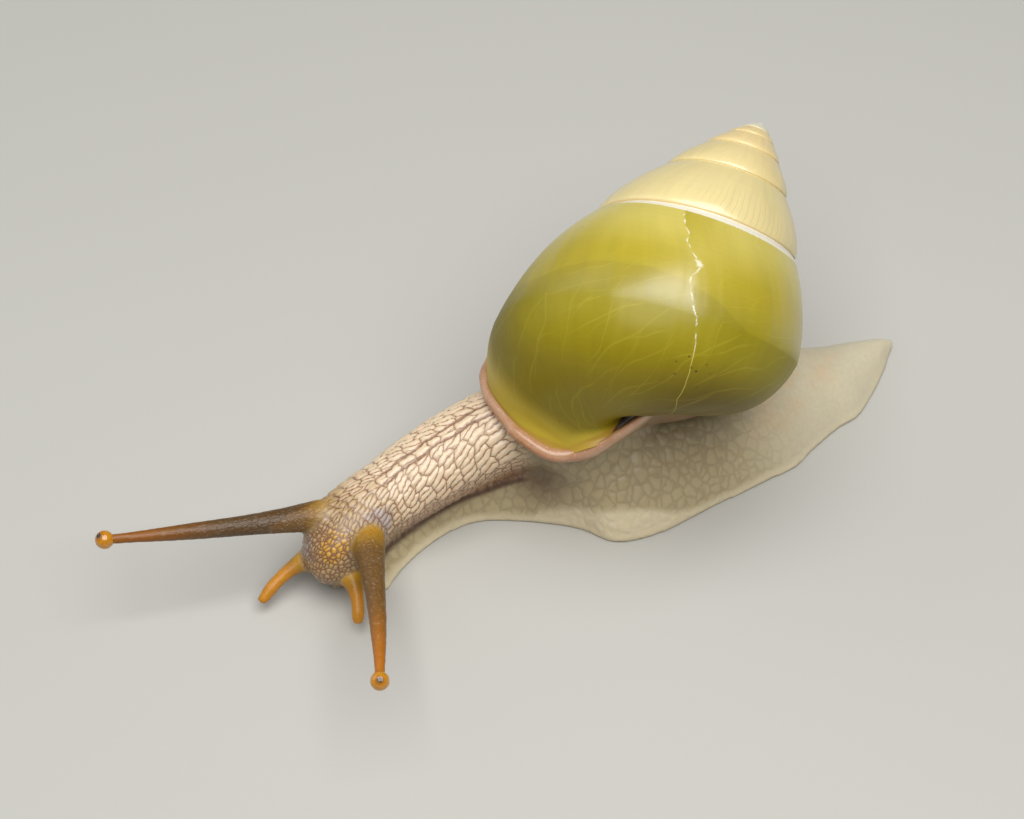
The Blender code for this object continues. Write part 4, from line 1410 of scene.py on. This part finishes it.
def neck_cells(look):
    """The pads of the neck and head: distance from the nearest groove, and one furrow's distance.

    Places are measured along the neck and round it from the line of the back, in pads. A strip between
    two wavy furrows runs along the back. Beside it the long pads lean up toward the shell. Low on the flanks
    the pads are smaller, behind a border that is a groove as well, and on the snout they are smallest.
    """
    arc, around, width = look.field("arc"), look.field("around"), look.field("pad_width")
    wave = 0.22 * look.line_noise(arc * 0.45, 3.0) + 0.10 * look.line_noise(arc * 1.3, 7.0)
    off = around - BACK_LINE - wave
    half = BACK_STRIP + 0.22 * look.line_noise(arc * 0.4, 11.0)
    flank = off.size().over(half)
    side = off.over(0.0)
    spot = look.place()
    along = look.field("pad_along") + 0.18 * (look.noise(spot, 1.3, 1.0) - 0.5)
    bend = look.noise(look.place((1.0, -1.0, 1.0)), 1.3, 1.0) - 0.5
    across = off.size() / width - look.field("pad_lean") * flank
    across = across + flank * (20.0 + 23.0 * side) + 0.30 * bend
    ratio = PAD_RATIO - PAD_RATIO_FALL * arc
    long_pads = pad_edge(look, along, across, ratio, 0.6)
    small_pads = pad_edge(look, along * SMALL_ALONG, across * SMALL_ACROSS, 0.76 * ratio, 0.7)
    snout = look.cell_edge(look.place([1 / v for v in SNOUT_CELL]), 1.0, 0.75)
    stray = look.noise(spot, 0.5, 2.0) - 0.5
    low = off.size() + 2.2 * stray - CREASE_AROUND
    smaller = low.over(0.0)
    edge = long_pads * (1.0 - smaller) + small_pads * 0.7 * smaller
    edge = (edge * width).least(low.size() + 0.04)
    tip = look.ramp(arc + 1.5 * stray, SNOUT_ARC, SNOUT_ARC + 0.2)
    edge = edge * (1.0 - tip) + snout * 0.45 * tip
    furrow = (off.size() - half).size()
    return edge, furrow


def foot_cells(look):
    """Soft rounded cells on the side of the foot, taller than wide: distance from a cell's side."""
    bend = 0.6 * (look.noise(look.place(), 0.9, 2.0) - 0.5)
    place = look.place([1 / v for v in FOOT_CELL])
    sockets = {0: place, 1: look.vector(bend, bend, bend)}
    bent = look.node("ShaderNodeVectorMath", {"operation": "ADD"}, sockets)
    return look.cell_edge(bent, 1.0, 0.85)


def furrow_depth(look, furrow):
    """Depth of the furrows along the back, which fade in behind the shell's edge and out at the head."""
    arc = look.field("arc")
    return look.ramp(furrow, 0.26, 0.06) * look.ramp(arc, 7.0, 10.0) * look.ramp(arc, 26.0, 23.0)


def skin_carving(settings):
    """Height of the skin's pads: domes on the neck and head, low cells on the foot, grain on the stalks."""
    tree = Carving("skin_carving")
    edge, furrow = neck_cells(tree)
    dome = tree.ramp(edge, 0.0, 0.30)
    small = tree.ramp(tree.field("arc"), HEAD_ARC, HEAD_ARC + 3.0)
    neck = tree.field("neck") * (dome - 0.7) * (1.0 - 0.4 * small) * settings.tubercle
    neck = neck - 0.18 * furrow_depth(tree, furrow) * tree.field("neck")
    foot = tree.ramp(foot_cells(tree), 0.0, 0.35) - 0.7
    fade = tree.ramp(tree.field("low"), 0.5, 1.4) * (1.0 - 0.75 * tree.field("tail"))
    foot = foot * tree.field("foot") * fade * settings.mesh_cells
    grain = tree.noise(tree.place(), 1.4, 2.0) - 0.5
    stems = grain * (tree.field("stalk") + tree.field("feeler")) * settings.grain
    return tree, neck + foot + stems


def blot(look, patch, mottle):
    """A soft oval patch on the neck or head, placed by the distance along it and round it."""
    centre, radii = patch
    a = (look.field("arc") - centre[0]) * (1 / radii[0])
    b = (look.field("around") - centre[1]) * (1 / radii[1])
    return look.ramp(a * a + b * b + 1.2 * (mottle - 0.5), 1.2, 0.3) * look.field("neck")


def neck_colours(look, settings, edge, deep, cloud, mottle):
    """Cream pads in brown grooves, tan low on the neck that is partly painted shade, olive on the head, with
    grey and yellow patches.
    """
    arc, around = look.field("arc"), look.field("around")
    ahead = look.ramp(arc + 5.0 * (cloud - 0.5), 23.0, 30.0)
    # Painted shade, partly the flank's own browner tone: tan pads and darker grooves low on the neck's side
    under = look.ramp(around.size() + 2.0 * (cloud - 0.5), 4.2, 9.5)
    grey = blot(look, GREY_PATCH, mottle).most(blot(look, GREY_SPOT, mottle))
    top = look.layers(
        settings.cream,
        (settings.tan, under),
        (settings.olive, ahead),
        (settings.lilac, 0.7 * grey),
        (settings.yellow, 0.75 * blot(look, YELLOW_PATCH, mottle)),
    )
    # Painted shade: each pad darker toward its edges and lighter on its dome
    top = look.shade(top, 0.90 + 0.12 * look.ramp(edge, 0.05, 0.3))
    return look.layers(
        look.mix(settings.furrow, settings.dark_furrow_and_shade, 0.45 * ahead + 0.4 * under),
        (top, look.ramp(edge + 0.12 * (mottle - 0.5), 0.0, 0.12)),
        (look.mix(settings.furrow, settings.dark_furrow_and_shade, 0.3), 0.85 * deep),
    )


def foot_colours(look, settings, cells, cloud, mottle):
    """Olive beige with faint brown lines, painted shade high on the side, a pale margin widened by painted
    light, and a paler tail with a peach tint.
    """
    tail, low = look.field("tail"), look.field("low")
    line = look.ramp(cells + 0.072 * (mottle - 0.5), 0.20, 0.0)
    line = line * (1.0 - 0.95 * tail) * look.ramp(low, 0.7, 1.6)
    # Painted shade: darker high on the foot's side, under the shell and beside the neck
    hollow = look.ramp(low, 2.5, 7.5) * look.ramp(tail, 0.35, 0.0)
    # The pale margin: the foot's own pale edge, widened by painted light along the middle of the left side
    margin = look.ramp(low + 0.8 * (cloud - 0.5) - 3.0 * look.field("middle"), 1.7, 0.4)
    peach = tail * look.ramp(low, 3.0, 5.5) * look.ramp(cloud, 0.35, 0.65)
    return look.layers(
        settings.foot,
        (settings.tail, tail),
        (settings.line, 0.26 * line),
        (settings.dark_furrow_and_shade, 0.15 * hollow),
        (settings.margin, 0.8 * margin),
        (settings.peach, 0.35 * peach),
    )


def stalk_colours(look, settings, scale, lower, cloud, mottle):
    """Brown eye stalks with fine dark scales and pale glints, orange above and yellow at the root; the right
    one darker by painted shade.
    """
    at = look.field("stalk_at")
    glint = look.ramp(look.noise(look.place(), 2.6, 2.0), 0.60, 0.72)
    stem = look.layers(
        settings.stalk,
        (settings.orange, look.ramp(at + 0.1 * (mottle - 0.5), 0.45, 0.95)),
        (settings.grey, look.ramp(cloud, 0.45, 0.7) * look.ramp(at, 0.6, 0.3) * 0.5),
        (settings.dark_furrow_and_shade, 0.35 * lower * look.ramp(scale, 0.10, 0.02)),
        (settings.cream, 0.20 * glint * look.ramp(at, 0.95, 0.6)),
    )
    root = look.mix(settings.yellow, settings.stalk, 0.35)
    stem = look.mix(root, stem, look.ramp(at + 0.12 * (mottle - 0.5), 0.0, 0.22))
    # Painted shade: the right stalk darker past its root
    right = look.ramp(look.field("right"), 0.4, 0.6) * look.ramp(at, 0.04, 0.2)
    return look.shade(stem, 1.0 - 0.36 * right)


def feeler_colours(look, settings, scale, mottle):
    """Lower tentacles: yellow at the root and golden orange beyond, almost without scales."""
    at = look.field("feeler_at")
    beyond = look.mix(settings.stalk, settings.gold, look.ramp(at, 0.2, 0.6))
    return look.layers(
        settings.yellow,
        (beyond, look.ramp(at + 0.2 * (mottle - 0.5), 0.10, 0.5)),
        (settings.dark_furrow_and_shade, 0.08 * look.ramp(scale, 0.10, 0.02)),
    )


def skin_look(settings):
    """Moist skin: cream pads in brown grooves, an olive and yellow head, orange tips and a pale tail."""
    look = Look("skin_moist")
    spot = look.place()
    neck, stalk, feeler = look.field("neck"), look.field("stalk"), look.field("feeler")
    edge, furrow = neck_cells(look)
    deep = furrow_depth(look, furrow)
    cells = foot_cells(look)
    cloud = look.noise(spot, 0.28, 3.0)
    mottle = look.noise(spot, 2.2, 4.0, 0.6)
    scale = look.cell_edge(look.place((1.5, 1.1, 1.9)), 1.2, 0.9)
    lower = look.ramp(look.field("stalk_at"), 0.9, 0.3)

    skin = look.layers(
        foot_colours(look, settings, cells, cloud, mottle),
        (neck_colours(look, settings, edge, deep, cloud, mottle), neck),
        # Painted shade where the neck meets the foot and under the lip
        (settings.dark_furrow_and_shade, 0.85 * look.field("fold")),
        # Painted shade inside the shell's opening
        (settings.inside, look.field("inside")),
        (stalk_colours(look, settings, scale, lower, cloud, mottle), stalk),
        (feeler_colours(look, settings, scale, mottle), feeler),
        # Painted shade in the slit of the mouth
        (settings.dark_furrow_and_shade, 0.85 * look.field("slit_and_shade")),
    )
    skin = look.shade(skin, 0.90 + 0.20 * mottle)

    scaly = look.ramp(scale, 0.0, 0.2) * (stalk * (0.2 + 0.8 * lower) + 0.25 * feeler)
    low_cells = look.ramp(cells, 0.0, 0.3) * look.field("foot") * 0.35 * (1.0 - look.field("tail"))
    height = look.ramp(edge, 0.0, 0.22) * neck + low_cells + 0.6 * scaly - 0.5 * deep
    look.set(
        Base_Color=skin,
        Roughness=0.34 + 0.16 * mottle,
        Normal=look.bump(height + 0.35 * look.noise(spot, 6.0, 4.0, 0.6), 0.07, 0.8),
        Coat_Weight=(0.10 + 0.45 * neck) * (1.0 - 0.8 * stalk),
        Coat_Roughness=0.22,
        Subsurface_Weight=0.25,
        Subsurface_Radius=(1.0, 0.55, 0.30),
        Subsurface_Scale=0.0006,
    )
    return look


# Eyes


def eye_sheet(spec, rows=48, around=64):
    """A round bulb with a soft shoulder toward its stalk, and the distance of each point from the eye."""
    centre = np.array(spec[1], float)
    ahead = unit(centre - np.array(spec[0], float))
    polar = np.linspace(0, math.pi, rows + 1)[1:-1]
    angles = circle(around)
    across = unit(np.cross(ahead, (0.0, 0.0, 1.0)))
    above = np.cross(across, ahead)
    radius = EYE_RADIUS * (1 + EYE_SHOULDER * np.exp(-(((math.pi - polar) / 0.5) ** 2)))
    spoke = np.cos(angles)[None, :, None] * across + np.sin(angles)[None, :, None] * above
    rings = centre + (radius * np.cos(polar))[:, None, None] * ahead
    rings = rings + (radius * np.sin(polar))[:, None, None] * spoke
    points, faces = loft(rings[::-1])
    points[-2] = centre - (1 + EYE_SHOULDER) * EYE_RADIUS * ahead
    points[-1] = centre + EYE_RADIUS * ahead
    gaze = unit(GAZE_AHEAD * ahead + GAZE_UP * above)
    off = np.linalg.norm(points - (centre + EYE_RADIUS * gaze), axis=1)
    return points, faces, {"from_eye": off}


def eye_look(settings):
    """Translucent orange bulb with a dark round eye near its top."""
    look = Look("eye_bulb")
    off = look.field("from_eye")
    mottle = look.noise(look.place(), 2.0, 3.0)
    radius = settings.dot_radius
    shade = look.layers(
        settings.bulb,
        (settings.pale, look.ramp(mottle, 0.4, 0.7) * 0.5),
        (settings.ring, 0.6 * look.ramp(off, radius * 2.4, radius)),
        (settings.dot, look.ramp(off, radius * 1.1, radius * 0.85)),
    )
    look.set(
        Base_Color=shade,
        Roughness=0.16,
        Coat_Weight=0.8,
        Coat_Roughness=0.05,
        Subsurface_Weight=0.5,
        Subsurface_Radius=(1.0, 0.5, 0.2),
        Subsurface_Scale=0.0006,
    )
    return look


# Operators


class SNAIL_OT_shell(Operator):
    """Build the coiled shell"""

    bl_idname = "snail.shell"
    bl_label = "Shell"

    def execute(self, context):
        settings = context.scene.snail_shell
        points, faces, fields = shell_sheet(settings)
        piece = mesh_piece("shell_coil", points, faces, shell_look(settings), fields)
        set_on_frame(piece, "shell", "shell")
        return {"FINISHED"}


class SNAIL_OT_lip(Operator):
    """Build the turned lip and the columella"""

    bl_idname = "snail.lip"
    bl_label = "Lip"

    def execute(self, context):
        points, faces, fields = lip_sheet()
        piece = mesh_piece("shell_rim", points, faces, lip_look(context.scene.snail_shell), fields)
        set_on_frame(piece, "lip", "shell_lip")
        return {"FINISHED"}


class SNAIL_OT_skin(Operator):
    """Build the skin of the foot, neck, head and tentacles"""

    bl_idname = "snail.skin"
    bl_label = "Skin"

    def execute(self, context):
        settings = context.scene.snail_skin
        points, faces, fields = skin_sheet(settings)
        piece = mesh_piece("skin_whole", points, faces, skin_look(settings), fields)
        carving, height = skin_carving(settings)
        carving.carve(piece, height)
        flesh = [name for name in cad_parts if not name.startswith(("shell", "eye_left", "eye_right"))]
        set_on_frame(piece, "skin", *flesh)
        return {"FINISHED"}


class SNAIL_OT_eyes(Operator):
    """Build the two eye bulbs"""

    bl_idname = "snail.eyes"
    bl_label = "Eyes"

    def execute(self, context):
        look = eye_look(context.scene.snail_eyes)
        for side, spec in (("left", LEFT_STALK), ("right", RIGHT_STALK)):
            points, faces, fields = eye_sheet(spec)
            piece = mesh_piece("eye_bulb_" + side, points, faces, look, fields)
            set_on_frame(piece, "eye", "eye_" + side)
        return {"FINISHED"}


class SNAIL_OT_stage(Operator):
    """Set the floor, the lights and the camera"""

    bl_idname = "snail.stage"
    bl_label = "Stage"

    def execute(self, context):
        settings = context.scene.snail_stage
        make_floor(settings)
        make_lights(settings)
        make_camera()
        context.scene.view_settings.view_transform = "Standard"
        return {"FINISHED"}


def make_floor(settings):
    """A wide level floor that curves up into a wall far behind, as one surface."""
    bend = np.linspace(0, math.pi / 2, 16)[1:]
    run = np.concatenate([np.linspace(-FLOOR_FRONT, FLOOR_BACK, 16), FLOOR_BACK + FLOOR_BEND * np.sin(bend)])
    rise = np.concatenate([np.zeros(16), FLOOR_BEND * (1 - np.cos(bend))])
    across = np.linspace(-FLOOR_HALF, FLOOR_HALF, 15)
    points = np.stack(np.broadcast_arrays(across[:, None], run[None], rise[None]), -1)
    index = np.arange(points[..., 0].size).reshape(points.shape[:2])
    look = Look("floor_matte")
    cloud = look.noise(look.place(), 0.01, 2.0)
    look.set(Base_Color=look.shade(settings.floor, 0.98 + 0.04 * cloud), Roughness=0.7)
    floor = mesh_piece("floor", points.reshape(-1, 3), grid_faces(index).tolist(), look)


def area_light(name, place, target, width, power, shade=(1.0, 1.0, 1.0)):
    data = bpy.data.lights.new(name, "AREA")
    data.shape = "SQUARE"
    data.size = width * MM
    data.energy = power
    data.color = shade
    lamp = bpy.data.objects.new(name, data)
    lamp.location = Vector(place) * MM
    lamp.rotation_euler = (Vector(target) - Vector(place)).to_track_quat("-Z", "Y").to_euler()
    bpy.context.scene.collection.objects.link(lamp)


def make_lights(settings):
    """A soft box high over the shell, a wide fill from ahead on the right and an even surround."""
    key_place = KEY_TARGET + KEY_DISTANCE * KEY_TOWARD
    area_light("key", key_place, KEY_TARGET, settings.key_width, settings.key)
    area_light("fill", FILL_PLACE, FILL_TARGET, FILL_WIDTH, settings.fill, (0.96, 0.98, 1.0))
    world = bpy.data.worlds.new("surround")
    world.use_nodes = True
    sky = world.node_tree.nodes["Background"].inputs
    sky["Color"].default_value = (0.95, 0.97, 1.0, 1.0)
    sky["Strength"].default_value = settings.sky
    bpy.context.scene.world = world


def make_camera():
    data = bpy.data.cameras.new("camera")
    data.lens = CAMERA_LENS
    data.sensor_width = 36.0
    data.clip_start = 0.01
    camera = bpy.data.objects.new("camera", data)
    azimuth, elevation = math.radians(CAMERA_AZIMUTH), math.radians(CAMERA_ELEVATION)
    back = Vector((
        math.sin(azimuth) * math.cos(elevation),
        -math.cos(azimuth) * math.cos(elevation),
        math.sin(elevation),
    ))
    camera.location = Vector(CAMERA_PLACE) * MM
    camera.rotation_euler = back.to_track_quat("Z", "Y").to_euler()
    bpy.context.scene.collection.objects.link(camera)
    bpy.context.scene.camera = camera


class SNAIL_PT_panel(Panel):
    """Lists the pieces of the snail"""

    bl_label = "Tree snail"
    bl_idname = "SNAIL_PT_panel"
    bl_space_type = "VIEW_3D"
    bl_region_type = "UI"
    bl_category = "Snail"

    def draw(self, context):
        for group, operators in PIECES:
            box = self.layout.box()
            for operator in operators:
                box.operator(operator)
            settings = getattr(context.scene, group)
            for name in settings.bl_rna.properties.keys():
                if name not in ("rna_type", "name"):
                    box.prop(settings, name)


PIECES = (
    ("snail_shell", ("snail.shell", "snail.lip")),
    ("snail_skin", ("snail.skin",)),
    ("snail_eyes", ("snail.eyes",)),
    ("snail_stage", ("snail.stage",)),
)
GROUPS = {
    "snail_shell": ShellSettings,
    "snail_skin": SkinSettings,
    "snail_eyes": EyeSettings,
    "snail_stage": StageSettings,
}
OPERATORS = (SNAIL_OT_shell, SNAIL_OT_lip, SNAIL_OT_skin, SNAIL_OT_eyes, SNAIL_OT_stage)


def register():
    for name, group in GROUPS.items():
        bpy.utils.register_class(group)
        setattr(bpy.types.Scene, name, PointerProperty(type=group))
    for item in (*OPERATORS, SNAIL_PT_panel):
        bpy.utils.register_class(item)


def unregister():
    for item in (SNAIL_PT_panel, *reversed(OPERATORS)):
        bpy.utils.unregister_class(item)
    for name, group in GROUPS.items():
        delattr(bpy.types.Scene, name)
        bpy.utils.unregister_class(group)


def main():
    register()
    bpy.ops.snail.shell()
    bpy.ops.snail.lip()
    bpy.ops.snail.skin()
    bpy.ops.snail.eyes()
    bpy.ops.snail.stage()


if __name__ == "__main__":
    main()
